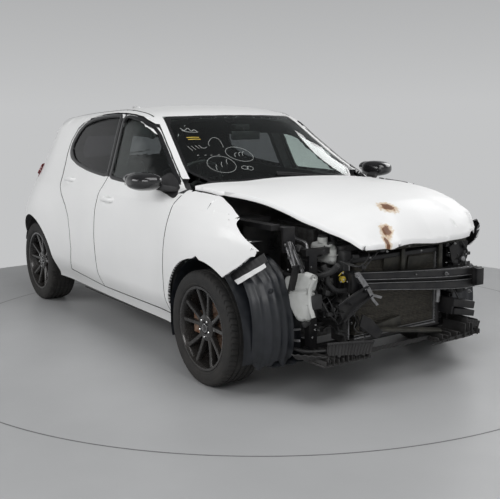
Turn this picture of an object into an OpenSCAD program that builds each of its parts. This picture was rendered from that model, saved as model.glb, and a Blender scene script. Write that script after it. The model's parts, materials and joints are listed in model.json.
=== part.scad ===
// Crashed five-door hatchback, built of separate panels, wheels and running gear.
// +X forward, +Y left, +Z up, millimetres. The origin is on the ground under the middle.

/* [Running gear] */
// Front axle ahead of the origin
front_axle_x = 1200; // [1100:1:1300]
// Rear axle behind the origin (negative)
rear_axle_x = -1360; // [-1450:1:-1280]
// Distance between the front tyre centre planes
track_front = 1530; // [1440:1:1600]
// Distance between the rear tyre centre planes
track_rear = 1490; // [1400:1:1560]
// Outside radius of the tyres
tyre_radius = 308; // [290:0.5:325]
// Width of the tyre section
tyre_width = 206; // [165:1:225]
// Radius of the rim's bead seat
bead_radius = 216; // [190:0.5:230]
// Radius of the wheel spindles
spindle_radius = 20; // [16:0.5:26]
// Play between a spindle and its hub bore
spindle_play = 0.08; // [0.02:0.01:0.1]
// Number of spoke pairs in a rim
spoke_pairs = 5; // [3:1:7]
// Width of one spoke
spoke_width = 19; // [12:0.5:30]
// Radius of the brake discs
disc_radius = 128; // [105:1:140]
// Kingpin distance from the car's middle plane
kingpin_y = 700; // [660:1:720]

/* [Panels] */
// Gap round doors and tailgate
panel_gap = 8; // [6:0.5:12]
// Gap behind the window frames
frame_gap = 12; // [10:0.5:16]
// Depth of a door's outer layer
door_skin = 25; // [18:0.5:30]
// Depth of a whole door
door_depth = 90; // [70:1:95]
// Thickness of the wings
wing_skin = 14; // [8:0.5:20]
// Thickness of the bonnet
bonnet_skin = 22; // [12:0.5:30]
// Thickness of the glass
glass_thick = 5; // [3:0.5:6]
// Hairline left between fixed panels
seam = 0.3; // [0.1:0.05:0.5]

/* [Cabin] */
// Distance of each front seat's middle from the car's middle
seat_y = 360; // [320:1:400]
// Width of a front seat
seat_width = 480; // [400:1:520]
// Height of the floor's underside
floor_z = 195; // [180:1:220]
// Thickness of the floor plates
floor_thick = 15; // [8:0.5:20]
// Radius of the steering wheel's rim
steering_radius = 180; // [160:1:195]
// Angle of the steering column above level
column_angle = 25; // [15:1:40]

/* [Engine bay] */
// Length of the engine block along the car
engine_length = 440; // [350:1:480]
// Height of the washer bottle
bottle_height = 210; // [150:1:260]
// Bore radius of the towing eye socket
socket_radius = 9; // [7:0.5:12]
// Depth of the towing eye socket
socket_length = 70; // [40:1:90]
// Width of the radiator
radiator_width = 650; // [500:1:760]
// Height of the bumper beam's section
beam_height = 104; // [80:1:130]

/* [Hidden] */
half = seam / 2;
sill_y = 660;
arch_front = 375;
arch_rear = 365;
arch_z = tyre_radius;
liner_radius = 372;
liner_top = arch_z + liner_radius;
inner_depth = 105;
tunnel = 100;
well_y = 478;
pillar_split = 9;
flange = 36;
pocket = 50;
rail_edge = 15;
// Half width at the belt line: [x, y]
BELT = [[-1950, 660], [-1700, 775], [-1360, 830], [-900, 832], [-200, 838], [600, 828],
        [1200, 815], [1600, 760], [1950, 600]];
// Middle line of roof, screen and scuttle: [x, z]
PROFILE = [[-1950, 1330], [-1600, 1415], [-1200, 1458], [-600, 1492], [-100, 1490], [240, 1425],
           [500, 1270], [790, 1072], [900, 995], [1200, 950], [1950, 700]];
// Crest of the front wings: [x, z]
CREST = [[700, 1040], [850, 1042], [950, 1034], [1200, 1012], [1400, 970], [1540, 920],
         [1700, 850], [1800, 800], [1950, 720]];
// Middle line of the tail: [z, x]
TAIL = [[200, -1860], [350, -1930], [550, -1945], [700, -1920], [820, -1875], [950, -1850],
        [1100, -1790], [1300, -1640], [1450, -1500]];
// Middle line of the bonnet: [x, z]
BONNET = [[800, 1062], [900, 1050], [1100, 1040], [1300, 1020], [1550, 980], [1700, 945],
          [1790, 905], [1850, 850], [1885, 800], [1910, 765]];
// Folded right edge of the bonnet: [x, y]
FOLD = [[884, -690], [1000, -668], [1075, -655], [1090, -628], [1250, -575], [1540, -475],
        [1906, -345]];

function ss(a, b, x) = let (t = min(1, max(0, (x - a) / (b - a)))) t * t * (3 - 2 * t);
function bump(c, w, x) = let (t = max(0, 1 - pow((x - c) / w, 2))) t * t;
function seg(p, x, i = 0) = (i >= len(p) - 2 || x < p[i + 1][0]) ? i : seg(p, x, i + 1);
function rise(p, i) = (p[i + 1][1] - p[i][1]) / (p[i + 1][0] - p[i][0]);
function slope(p, i) = i == 0 ? rise(p, 0) : i == len(p) - 1 ? rise(p, i - 1)
    : (rise(p, i - 1) * (p[i + 1][0] - p[i][0]) + rise(p, i) * (p[i][0] - p[i - 1][0]))
      / (p[i + 1][0] - p[i - 1][0]);
function curve(p, v) = let (x = min(p[len(p) - 1][0], max(p[0][0], v)), i = seg(p, x),
    h = p[i + 1][0] - p[i][0], t = (x - p[i][0]) / h)
    (2 * t * t * t - 3 * t * t + 1) * p[i][1] + (t * t * t - 2 * t * t + t) * h * slope(p, i)
    + (3 * t * t - 2 * t * t * t) * p[i + 1][1] + (t * t * t - t * t) * h * slope(p, i + 1);
function smax(a, b, k) = let (h = max(0, k - abs(a - b)) / k) max(a, b) + h * h * k / 4;

// Body surface: side, top and tail blended; negative inside.
function side_w(x, z) = curve(BELT, x) + 36 * bump(rear_axle_x, 620, x) * ss(1000, 720, z)
    + 42 * bump(front_axle_x, 600, x) * ss(980, 700, z) + 25 * bump(620, 400, z)
    - 75 * ss(420, 180, z) - 0.38 * max(z - 930, 0) - 35 * ss(800, 1100, z)
    - ss(-1200, -1750, x) * (65 * ss(620, 950, z) + 50 * ss(1100, 1350, z));
function top_s(x, y) = let (a = abs(y), s = 100 * pow(a / 620, 2) * ss(1000, 500, x) * ss(-200, 300, x),
    c = 38 - 18 * ss(250, 700, x) + 12 * ss(900, 1400, x))
    curve(PROFILE, x + s) - c * pow(a / 600, 2.2);
function top_z(x, y) = let (t = ss(600, 690, abs(y)) * ss(700, 800, x), s = top_s(x, y))
    s * (1 - t) + t * max(s, curve(CREST, x) - 15 * pow(abs(y) / 700, 4));
function tail_x(y, z) = curve(TAIL, z) + 140 * pow(abs(y) / 700, 2.6);
function body(p) = smax(smax(abs(p[1]) - side_w(p[0], p[2]), p[2] - top_z(p[0], p[1]), 80 + 40 * ss(500, 900, p[0])),
                        tail_x(p[1], p[2]) - p[0], 100);
function hit(o, d, lo, hi, n = 17) = n == 0 ? (lo + hi) / 2
    : let (m = (lo + hi) / 2) body(o + m * d) < 0 ? hit(o, d, m, hi, n - 1) : hit(o, d, lo, m, n - 1);

// Ray fans that meet the surface: across the car, towards the tail, round the tail.
hub_z = 650;
XS = [for (x = [-1840 : 91 : 1800]) x];
FS = [-31, -24, -17, -10, -3, 4, 11, 18, 24, 30, 36, 42, 48, 54, 60, 70, 80, 90];
function fan(f) = [0, -cos(f), sin(f)];
SIDE = [for (x = XS) [for (f = FS) hit([x, 0, hub_z], fan(f), 0, 1100)]];
function side_pt(i, j, d) = [XS[i], 0, hub_z] + (SIDE[i][j] - d) * fan(FS[j]);

module grid_solid(A, B) {
    n = len(A); m = len(A[0]); N = n * m;
    polyhedron(points = concat([for (r = A) each r], [for (r = B) each r]), faces = concat(
        [for (i = [0 : n - 2]) for (j = [0 : m - 2]) for (k = [0, 1])
            k == 0 ? [i * m + j, i * m + j + 1, i * m + m + j + 1]
                   : [i * m + j, i * m + m + j + 1, i * m + m + j]],
        [for (i = [0 : n - 2]) for (j = [0 : m - 2]) for (k = [0, 1])
            k == 0 ? [N + i * m + j, N + i * m + m + j + 1, N + i * m + j + 1]
                   : [N + i * m + j, N + i * m + m + j, N + i * m + m + j + 1]],
        [for (i = [0 : n - 2]) for (k = [0, 1])
            k == 0 ? [i * m, i * m + m, N + i * m + m] : [i * m, N + i * m + m, N + i * m]],
        [for (i = [0 : n - 2]) for (k = [0, 1])
            k == 0 ? [i * m + m - 1, N + i * m + m - 1, N + i * m + 2 * m - 1]
                   : [i * m + m - 1, N + i * m + 2 * m - 1, i * m + 2 * m - 1]],
        [for (j = [0 : m - 2]) for (k = [0, 1])
            k == 0 ? [j, N + j, N + j + 1] : [j, N + j + 1, j + 1]],
        [for (j = [0 : m - 2]) for (k = [0, 1])
            k == 0 ? [N - m + j, N - m + j + 1, 2 * N - m + j + 1]
                   : [N - m + j, 2 * N - m + j + 1, 2 * N - m + j]]));
}
// Layer of the body's right half between two depths, over chosen grid columns and rows.
module layer(d0, d1, i0 = 0, i1 = 40, j0 = 0, j1 = 17)
    grid_solid([for (i = [i0 : i1]) [for (j = [j0 : j1]) side_pt(i, j, d0)]],
               [for (i = [i0 : i1]) [for (j = [j0 : j1]) side_pt(i, j, d1)]]);
// Layer over the whole arch from right to left.
module arch_layer(x0, x1, nx, f0, nf, d0, d1) {
    X = [for (i = [0 : nx]) x0 + (x1 - x0) * i / nx];
    G = [for (j = [0 : nf]) f0 + (180 - 2 * f0) * j / nf];
    H = [for (x = X) [for (g = G) hit([x, 0, hub_z], fan(g), 0, 1100)]];
    grid_solid([for (i = [0 : nx]) [for (j = [0 : nf]) [X[i], 0, hub_z] + (H[i][j] - d0) * fan(G[j])]],
               [for (i = [0 : nx]) [for (j = [0 : nf]) [X[i], 0, hub_z] + (H[i][j] - d1) * fan(G[j])]]);
}
// Layer of the tail face, depth measured forward.
module tail_layer(z0, z1, nz, w, ny, d0, d1) {
    Z = [for (i = [0 : nz]) z0 + (z1 - z0) * i / nz];
    Y = [for (j = [0 : ny]) -w + 2 * w * j / ny];
    H = [for (z = Z) [for (y = Y) -900 - hit([-900, y, z], [-1, 0, 0], 0, 1200)]];
    grid_solid([for (i = [0 : nz]) [for (j = [0 : ny]) [H[i][j] + d0, Y[j], Z[i]]]],
               [for (i = [0 : nz]) [for (j = [0 : ny]) [H[i][j] + d1, Y[j], Z[i]]]]);
}
module panel() { resize([0, 0, 0]) children(); }
module both() { children(); mirror([0, 1, 0]) children(); }
// Cutters through the right half, downwards, and along the car.
module through_side(y0 = -1200, y1 = 20) translate([0, y1, 0]) rotate([90, 0, 0]) linear_extrude(y1 - y0) children();
module through_tail(x0, x1) translate([x0, 0, 0]) rotate([90, 0, 90]) linear_extrude(x1 - x0) children();
module box(a, b) translate([min(a[0], b[0]), min(a[1], b[1]), min(a[2], b[2])])
    cube([abs(a[0] - b[0]), abs(a[1] - b[1]), abs(a[2] - b[2])]);

// Outlines seen from the side: [x, z]
SPLIT = [[-155, 300], [-165, 450], [-170, 650], [-163, 800], [-142, 940], [-117, 1033], [-187, 1470]];
DOOR_F = [[795, 298], [790, 380], [792, 470], [801, 580], [815, 700], [838, 850], [858, 980],
          [846, 1012], [800, 1046], [680, 1112], [590, 1164], [480, 1226], [350, 1294], [220, 1354],
          [60, 1406], [-60, 1427], [-181, 1438]];
DOOR_R = [[-181, 1438], [-340, 1442], [-500, 1437], [-670, 1420], [-800, 1390], [-900, 1340],
          [-960, 1250], [-962, 1160], [-935, 1060], [-880, 960], [-800, 878], [-700, 806],
          [-640, 730], [-610, 620], [-612, 500], [-650, 400], [-700, 338]];
GLASS_F = [[775, 1036], [740, 1026], [500, 1012], [100, 1019], [-88, 1030], [-156, 1414],
           [-60, 1408], [60, 1388], [220, 1334], [350, 1272], [480, 1203], [590, 1143], [680, 1092]];
GLASS_R = [[-142, 1036], [-300, 1045], [-500, 1062], [-700, 1090], [-860, 1130], [-922, 1172],
           [-932, 1235], [-880, 1322], [-790, 1370], [-660, 1400], [-500, 1418], [-340, 1425], [-212, 1421]];
TAIL_DOOR = [[-556, 712], [-586, 800], [-588, 1000], [-574, 1100], [-545, 1250], [-520, 1370], [-505, 1460],
             [505, 1460], [520, 1370], [545, 1250], [574, 1100], [588, 1000], [586, 800], [556, 712]];
TAIL_GLASS = [[-470, 1085], [-462, 1180], [-440, 1290], [-415, 1345], [415, 1345], [440, 1290], [462, 1180], [470, 1085]];
// Screen and roof seen from above: [x, y]
SCREEN = [[868, 0], [864, -250], [850, -480], [830, -655], [482, -571], [144, -494], [196, -340],
          [232, -160], [240, 0], [232, 160], [196, 340], [144, 494], [482, 571], [830, 655], [850, 480], [864, 250]];
ROOF = [[-1500, -545], [124, -545], [144, -494], [196, -340], [232, -160], [240, 0], [232, 160],
        [196, 340], [144, 494], [124, 545], [-1500, 545]];

// Roof and screen outlines grown by d: what lies inside belongs to roof rail and pillar.
module zone(d) translate([0, 0, 955]) linear_extrude(645) {
    offset(delta = d + 23) polygon(SCREEN);
    offset(delta = d) polygon(ROOF);
}
module door_shape(front) {
    if (front) polygon(concat(DOOR_F, [for (k = [5 : -1 : 0]) SPLIT[k]]));
    else polygon(concat(DOOR_R, [for (k = [0 : 5]) SPLIT[k]]));
}
module door_outline(front) difference() {
    offset(delta = -panel_gap / 2) door_shape(front);
    polygon([for (p = [[5, 1], [6, 1], [6, -1], [5, -1]]) SPLIT[p[0]] + [p[1] * pillar_split, 0]]);
}
module door_hole() {
    for (f = [true, false]) {
        offset(delta = panel_gap / 2) door_shape(f);
        intersection() {
            offset(delta = frame_gap - panel_gap / 2) door_shape(f);
            translate([-1300, 960]) square([2300, 700]);
        }
    }
}
module glass_shape(front) polygon(front ? GLASS_F : GLASS_R);
module low_door(front, inset) offset(delta = -inset) intersection() {
    door_shape(front);
    translate([-1300, 200]) square([2300, 800]);
}
// Hollows behind the front upper corners of the doors, which swing inwards a little.
module pockets() {
    polygon([[785, 700], [822, 700], [872, 960], [872, 1002], [852, 1024], [812, 1056], [680, 1056], [680, 945], [740, 900]]);
    polygon([[-180, 860], [-150, 860], [-108, 1033], [-108, 1090], [-240, 1090], [-240, 960]]);
}
// Rubber seals on the pillar between the doors, which the closed doors rest on.
module seals() for (x = [[12, 24], [-36, -26]])
    polygon([for (k = [[1, 0], [2, 0], [3, 0], [3, 1], [2, 1], [1, 1]]) SPLIT[k[0]] + [x[k[1]], 0]]);
// Rear edge of the front wing, and all that is ahead of it.
function wing_rear() = [for (k = [6 : -1 : 0]) DOOR_F[k] + [panel_gap / 2, 0]];
module wheel_space() for (s = [-1, 1]) translate([front_axle_x, s > 0 ? well_y : -900, arch_z])
    rotate([-90, 0, 0]) cylinder(h = 900 - well_y, r = liner_radius + seam);

module body_side() {
    difference() {
        union() {
            difference() {
                layer(0, 60);
                through_side() difference() {
                    translate([-2500, -500]) square([5000, 2500]);
                    polygon([[818, 222], [818, 290], [795, 290], [830, 700], [868, 985], [868, 1200], [300, 1600],
                             [-1560, 1600], [-1950, 1200], [-1950, 700 + half], [-1702, 700 + half], [-1702, 300], [-990, 245]]);
                }
                difference() { through_side() door_hole(); zone(rail_edge); }
            }
            difference() {
                layer(flange, inner_depth);
                through_side() difference() {
                    translate([-2500, -500]) square([5000, 2500]);
                    polygon([[812, 230], [815, 330], [840, 450], [885, 560], [885, 980], [868, 985], [868, 1200], [300, 1600],
                             [-1540, 1600], [-1790, 1200], [-1790, 700 + half], [-1702, 700 + half], [-1690, 300], [-990, 250]]);
                }
                difference() {
                    through_side() for (f = [true, false]) {
                        low_door(f, 40);
                        offset(delta = 4) glass_shape(f);
                    }
                    zone(rail_edge);
                }
            }
            box([-960, -sill_y, 222], [800, -735, 325]);
            intersection() { layer(door_skin + seam, flange + 1, 16, 24, 2, 10); through_side() seals(); }
        }
        intersection() { layer(-5, pocket, 18, 32, 5, 14); through_side() pockets(); }
        intersection() {
            layer(-5, wing_skin + seam, 28, 33, 0, 12);
            through_side() polygon(concat([[960, 986], [872, 986]], wing_rear(), [[960, 290]]));
        }
        translate([rear_axle_x, -1200, arch_z]) rotate([-90, 0, 0]) cylinder(h = 400, r = arch_rear, $fn = 72);
        translate([rear_axle_x, -900, arch_z]) rotate([-90, 0, 0]) cylinder(h = 400, r = arch_rear + 8, $fn = 72);
        translate([0, 0, 700]) linear_extrude(900) offset(delta = half) union() { polygon(SCREEN); polygon(ROOF); }
        through_tail(-2100, -1400) offset(delta = panel_gap) polygon(TAIL_DOOR);
        box([-2000, -700, 1300], [-1500, -1, 1700]);
        box([-2000, -500, 200], [-1400, -560, 1700]);
        box([-2000, -400, 954.7], [-1610, -900, 1062.3]);
        box([812, -640 - seam, 100], [2000, 10, 985]);
        box([812, -600, 980], [2000, 10, 1100]);
        box([-500, -1, 0], [860, -640, 1000]);
        box([-2000, -10, 0], [-900, -598.3, 900]);
    }
}
module body_side_right() color("white") panel() body_side();
module body_side_left() color("white") panel() mirror([0, 1, 0]) body_side();

module roof() color("white") panel() {
    intersection() {
        union() {
            arch_layer(-1500, 240, 16, 40, 16, 0, 22);
            intersection() {
                arch_layer(-1500, 240, 16, 40, 16, 21, 50);
                for (x = [-1490, -700, -110, 60]) box([x, -600, 1000], [x + 70, 600, 1700]);
            }
        }
        translate([0, 0, 1000]) linear_extrude(700) offset(delta = -half) polygon(ROOF);
    }
    hull() {
        box([-1290, -22, 1440], [-1080, 22, 1462]);
        box([-1290, -6, 1440], [-1240, 6, 1512]);
    }
}
module windscreen() color("lightblue") panel() intersection() {
    arch_layer(140, 890, 10, 36, 14, 0, glass_thick);
    translate([0, 0, 700]) linear_extrude(900) offset(delta = -half) polygon(SCREEN);
}

module wing(damaged) {
    rear = concat([[872, 1100], [872, 986]], wing_rear());
    shape = damaged ? [[850, 298], [1000, 600], [1200, 700], [1340, 610], [1366, 582], [1420, 622], [1520, 684], [1600, 752],
                       [1612, 766], [1560, 800], [1440, 838], [1400, 846], [1378, 864], [1400, 884], [1424, 915], [1440, 1100]]
                    : [[850, 298], [1000, 600], [1200, 700], [1350, 610], [1372, 585], [1450, 600], [1560, 640],
                       [1640, 700], [1680, 780], [1600, 850], [1520, 1100]];
    difference() {
        union() {
            intersection() { layer(0, wing_skin, 28, 40); through_side() polygon(concat(rear, shape)); }
            intersection() { layer(wing_skin - 1, flange - seam, 28, 40); box([870, -1000, 700], [884, -500, 860]); }
        }
        translate([front_axle_x, -1200, arch_z]) rotate([-90, 0, 0]) cylinder(h = 600, r = arch_front, $fn = 96);
        box([800, -703, 0], [2000, 0, 2000]);
    }
}
module wing_right() color("white") panel() wing(true);
module wing_left() color("white") panel() mirror([0, 1, 0]) wing(false);

module door(front) {
    difference() {
        union() {
            intersection() { layer(0, door_skin); through_side() door_outline(front); }
            intersection() { layer(door_skin - 1, door_depth); through_side() low_door(front, 50); }
        }
        difference() { through_side() glass_shape(front); zone(rail_edge + panel_gap + 12); }
        zone(rail_edge + panel_gap);
        if (!front) translate([rear_axle_x, -1200, arch_z]) rotate([-90, 0, 0])
            cylinder(h = 900, r = arch_rear + panel_gap, $fn = 72);
    }
}
module door_front_right() color("white") panel() door(true);
module door_front_left() color("white") panel() mirror([0, 1, 0]) door(true);
module door_rear_right() color("white") panel() door(false);
module door_rear_left() color("white") panel() mirror([0, 1, 0]) door(false);
module side_glass(front) difference() {
    intersection() {
        layer(8, 8 + glass_thick, 0, 40, 6, 17);
        through_side() offset(delta = -seam) glass_shape(front);
    }
    zone(rail_edge + panel_gap + 12 + seam);
}
module glass_front_right() color("lightblue") panel() side_glass(true);
module glass_front_left() color("lightblue") panel() mirror([0, 1, 0]) side_glass(true);
module glass_rear_right() color("dimgray") panel() side_glass(false);
module glass_rear_left() color("dimgray") panel() mirror([0, 1, 0]) side_glass(false);
module mirror_unit() difference() {
    union() {
        hull() for (p = [[575, -955, 1080, 22], [610, -955, 1050, 30], [660, -930, 1065, 34], [700, -880, 1065, 26],
                         [600, -830, 1060, 40], [690, -830, 1065, 40], [575, -900, 1075, 34]])
            translate([p[0], p[1], p[2]]) sphere(r = p[3], $fn = 20);
        hull() { box([640, -850, 1005], [720, -835, 1045]); box([690, -760, 990], [790, -720, 1024]); }
    }
    layer(-seam, 300, 20, 36, 0, 12);
}
module mirror_right() color("black") panel() mirror_unit();
module mirror_left() color("black") panel() mirror([0, 1, 0]) mirror_unit();

module tailgate() color("white") panel() {
    difference() {
        union() {
            intersection() { tail_layer(700, 1436, 12, 620, 12, 0, 26); through_tail(-2100, -1400) polygon(TAIL_DOOR); }
            intersection() {
                tail_layer(700, 1436, 12, 620, 12, 25, 55);
                through_tail(-2100, -1400) difference() {
                    offset(delta = -45) polygon(TAIL_DOOR);
                    offset(delta = 30) polygon(TAIL_GLASS);
                    translate([-380, 820]) square([760, 180]);
                }
            }
        }
        through_tail(-2100, -1400) polygon(TAIL_GLASS);
        box([-1512, -900, 600], [-1000, 900, 1700]);
    }
    difference() {
        grid_solid([for (x = [-1745, -1700, -1640, -1580, -1512]) [for (y = [-500 : 100 : 500]) lip(x, y)]],
                   [for (x = [-1745, -1700, -1640, -1580, -1512]) [for (y = [-500 : 100 : 500])
                       lip(x, y) - [0, 0, 8 + 18 * ss(-1745, -1640, x)]]]);
        through_tail(-1620, -1400) polygon(TAIL_GLASS);
    }
}
function lip(x, y) = [x, y, 1000 + hit([-1512, y, 1000], [0, 0, 1], 0, 700) - 34 * ss(-1512, -1760, x)
                      - 4 * ss(300, 500, abs(y))];
module tailgate_glass() color("dimgray") panel() intersection() {
    tail_layer(1060, 1370, 6, 500, 8, 4, 4 + glass_thick);
    through_tail(-2100, -1400) offset(delta = -seam) polygon(TAIL_GLASS);
}
module tail_lamps() color("darkred") panel() both() difference() {
    intersection() { layer(-8, 34, 0, 6); box([-1800, -900, 955], [-1610.3, -600, 1062]); }
    through_tail(-2100, -1400) offset(delta = panel_gap) polygon(TAIL_DOOR);
}
module rear_bumper() color("white") panel() {
    Z = [285, 340, 400, 470, 540, 610, 665, 700 - half];
    P = [for (a = [-64 : 8 : 64]) a];
    H = [for (z = Z) [for (a = P) hit([-1200, 0, z], [-cos(a), sin(a), 0], 0, 1300)]];
    difference() {
        union() {
            grid_solid([for (i = [0 : len(Z) - 1]) [for (j = [0 : len(P) - 1])
                           [-1200 - H[i][j] * cos(P[j]), H[i][j] * sin(P[j]), Z[i]]]],
                       [for (i = [0 : len(Z) - 1]) [for (j = [0 : len(P) - 1])
                           [-1200 - (H[i][j] - 20) * cos(P[j]), (H[i][j] - 20) * sin(P[j]), Z[i]]]]);
            both() box([-1905, 300, 500], [-1790 - seam, 380, 560]);
            both() box([-1912, 300, 695], [-1900, 340, TAIL_DOOR[0][1] - seam]);
        }
        box([-1702 - seam, -1000, 100], [-1000, 1000, 800]);
    }
}

// Bonnet: raised at the rear right corner, folded along the right edge, dented at the front.
function fold_y(x) = curve(FOLD, x);
function bonnet_z(x, y) = let (a = abs(y), d = max(0, y - fold_y(x)),
    s = (y > 0 ? 160 : 45) * pow(a / 620, 2.4) * ss(1200, 1800, x))
    curve(BONNET, x + s) - 35 * pow(a / 620, 2)
    - 85 * ss(1000, 1500, x) * ss(2050, 1600, x) * exp(-pow(d / 110, 1.5))
    - 30 * ss(300, 600, y) * ss(1500, 1750, x)
    + 22 * ss(-300, -640, y) * ss(1150, 950, x)
    - 26 * bump(-95, 55, y) * ss(1640, 1800, x);
module bonnet() color("white") panel() {
    X = [884, 960, 1030, 1090, 1180, 1280, 1380, 1480, 1570, 1640, 1700, 1750, 1795, 1835, 1870, 1910];
    Y = [-720, -655, -600, -520, -440, -360, -290, -200, -150, -110, -80, -40, 60, 160, 260, 360, 460, 540, 610, 660, 720];
    intersection() {
        grid_solid([for (x = X) [for (y = Y) [x, y, bonnet_z(x, y)]]],
                   [for (x = X) [for (y = Y) [x, y, bonnet_z(x, y) - bonnet_skin]]]);
        translate([0, 0, 300]) linear_extrude(1000) polygon(concat([for (p = FOLD) p],
            [[1903, -290], [1882, -205], [1874, -150], [1890, -100], [1886, 0], [1878, 150], [1850, 300],
             [1808, 450], [1765, 590], [1722, 650], [1640, 680], [1500, 690], [884, 690]]));
    }
}

module floor_pan() color("gray") {
    w = sill_y - seam;
    t = floor_z + floor_thick;
    difference() {
        union() {
            difference() {
                box([-560, -w, floor_z], [900 - seam, w, t]);
                box([-561, -tunnel, floor_z - 1], [910, tunnel, t + 1]);
            }
            difference() {
                box([-561, -tunnel - floor_thick, t - 1], [900 - seam, tunnel + floor_thick, 335]);
                box([-562, -tunnel, t - 2], [910, tunnel, 323]);
            }
            difference() {
                box([-575, -w, floor_z], [-560, w, 372]);
                box([-576, -tunnel, floor_z - 1], [-559, tunnel, 323]);
            }
            box([-1790, -575, 360], [-574, 575, 372]);
            box([-1790, -560, 371], [-1775, 560, 690]);
            for (s = [-1, 1]) {
                box([-990, s * 574, 360], [-574, s * w, 372]);
                intersection() {
                    translate([rear_axle_x, 0, arch_z]) rotate([-90, 0, 0]) difference() {
                        translate([0, 0, s > 0 ? 574 : -820]) cylinder(h = 246, r = arch_rear + 7.3);
                        translate([0, 0, s > 0 ? 582 : -821]) cylinder(h = 239, r = arch_rear + 1);
                    }
                    box([-1702, s * 560, 360], [-900, s * 830, 900]);
                }
                // cross-members and seat rails
                box([-40, s * (tunnel + 14), t - 1], [20, s * w, 240]);
                box([-420, s * (tunnel + 14), t - 1], [-370, s * w, 240]);
                // jacking rail under the sill edge
                box([-540, s * 560, 178], [760, s * 600, floor_z + 1]);
            }
        }
        wheel_space();
    }
}
module bulkhead() color("dimgray") difference() {
    low = floor_z + floor_thick + seam;
    union() {
        box([900, -620, floor_z], [915, 620, 930]);
        box([800, -640, 929], [930, 640, 942]);
        box([918, -640, 941], [930, 640, 978]);
        box([800, -600, 941], [812, 600, 1010]);
        for (s = [-1, 1]) {
            box([812 + seam, s * 618, low], [915, s * 640, 930]);
            box([900, s * 600, floor_z], [915, s * 640, 930]);
            // wheel house wall
            box([812 + seam, s * (well_y - 8), low], [901, s * well_y, 600]);
            intersection() {
                translate([front_axle_x, s > 0 ? well_y - 1 : -640, arch_z]) rotate([-90, 0, 0])
                    cylinder(h = 641 - well_y, r = liner_radius + 12);
                box([800, s * (well_y - 1), low], [915, s * 640, 700]);
            }
        }
    }
    wheel_space();
}

module front_structure() color("silver") {
    for (s = [-1, 1]) {
        box([915 + seam, s * 400, 420], [1640, s * 470, 520]);
        box([915 + seam, s * 600, 850], [1560, s * 655, 876]);
        difference() {
            box([1110, s * 468, liner_top + seam], [1290, s * 640, 880]);
            box([1118, s * 478, liner_top - 10], [1282, s * 632, 872]);
        }
        box([1110, s * 400, 518], [1290, s * 478, 700]);
        // spring leg above the wheel
        translate([front_axle_x, s * 560, 705]) cylinder(h = 170, r = 48);
        // subframe legs and lower arms
        box([985, s * 400, 236], [1045, s * 470, 421]);
        box([1150, s * 290, 200], [1230, s * 640, 222]);
        box([1180, s * 635, 200], [1222, s * (kingpin_y + 14), 222]);
        translate([front_axle_x, s * kingpin_y, 221]) cylinder(h = 30, r = 9);
    }
    box([950, -470, 200], [1060, 470, 237]);
    box([1140, -300, 200], [1340, 300, 237]);
    box([1000, -300, 200], [1200, -250, 237]);
    box([1000, 250, 200], [1200, 300, 237]);
    // bonnet stop
    box([1376, 606, 875], [1384, 614, bonnet_z(1380, 610) - bonnet_skin - 1.9]);
    // towing eye socket
    difference() {
        translate([1689, 420, 420]) rotate([0, 90, 0]) cylinder(h = socket_length + 8, r = socket_radius + 7);
        translate([1697, 420, 420]) rotate([0, 90, 0]) cylinder(h = socket_length + 10, r = socket_radius);
    }
    box([1640, 395, 400], [1690, 470, 440]);
    // radiator frame
    box([1640 - 1, -520, 400], [1655, -400, 540]);
    box([1640 - 1, 400, 400], [1655, 520, 540]);
    box([1654, -540, 728], [1690, 540, 758]);
    box([1654, -540, 232], [1690, 540, 262]);
    for (s = [-1, 1]) box([1654, s * 470, 261], [1690, s * 520, 729]);
    for (s = [-1, 1]) box([1540, s * 560, 850], [1600, s * 610, 865]);
    for (s = [-1, 1]) box([1585, s * 540, 740], [1600, s * 610, 865]);
    for (s = [-1, 1]) box([1585, s * 500, 740], [1660, s * 541, 757]);
}
module radiator() color("darkgray") {
    w = radiator_width / 2;
    box([1700, 25 - w, 262 + seam], [1738, 25 + w, 700]);
    box([1654, -100, 262 + seam], [1701, 100, 270]);
    box([1694, 25 + w - 40, 270], [1748, 25 + w, 700]);
}
module bumper_beam() color("dimgray") {
    h = beam_height;
    translate([1790, 600, 498]) multmatrix([[1, -0.087, 0, 0], [0, 1, 0, 0], [0, -0.09, 1, 0], [0, 0, 0, 1]])
        difference() {
            box([-36, -910, -h / 2], [36, 0, h / 2]);
            for (z = [-1, 1]) box([6, -911, z * h / 4 - 16], [37, 1, z * h / 4 + 16]);
        }
    box([1690 + seam, 440, 440], [1775, 500, 500]);
    box([1690 + seam, -500, 440], [1815, -440, 560]);
    hull() {
        box([1780, -500, 440], [1815, -440, 560]);
        box([1842, -335, 540], [1890, -305, 622]);
    }
}
module engine() color("gray") {
    box([1045 + seam, -330, 237 + seam], [1045 + engine_length, 330, 820]);
}
module bay_tanks() color("ivory") {
    // washer bottle with its neck and tab, coolant tank on its foot, battery on the rail
    box([1575, -610, 345], [1715, -525, 345 + bottle_height]);
    box([1600, -580, 345 + bottle_height - 1], [1640, -540, 700]);
    box([1590, -526, 430], [1630, -470 - seam, 500]);
    box([1520, -395, 645], [1648, -335, 785]);
    box([1520, -430, 520 + seam], [1600, -380, 650]);
    box([1296, 335, 520 + seam], [1480, 465, 730]);
}
module liners_and_trays() color("black") {
    front_debris();
    for (s = [-1, 1]) intersection() {
        translate([front_axle_x, 0, arch_z]) rotate([-90, 0, 0]) difference() {
            translate([0, 0, s > 0 ? 480 : -840]) cylinder(h = 360, r = liner_radius);
            translate([0, 0, s > 0 ? 479 : -841]) cylinder(h = 362, r = liner_radius - 5);
        }
        box([830, s * (well_y + seam), s < 0 ? 190 : 260], [1700, s * 845, 900]);
    }
}
module front_debris() {
    // torn undertray, lower grille ends and crash box end
    box([1300, -480, 188], [1760, -300, 200 - seam]);
    box([1560, -640, 205], [1780, -300, 231.7]);
    box([1690 + seam, -560, 215], [1925, -330, 250]);
    box([1690 + seam, 380, 215], [1880, 600, 250]);
    box([1690 + seam, 500, 300], [1830, 560, 350]);
}

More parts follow.
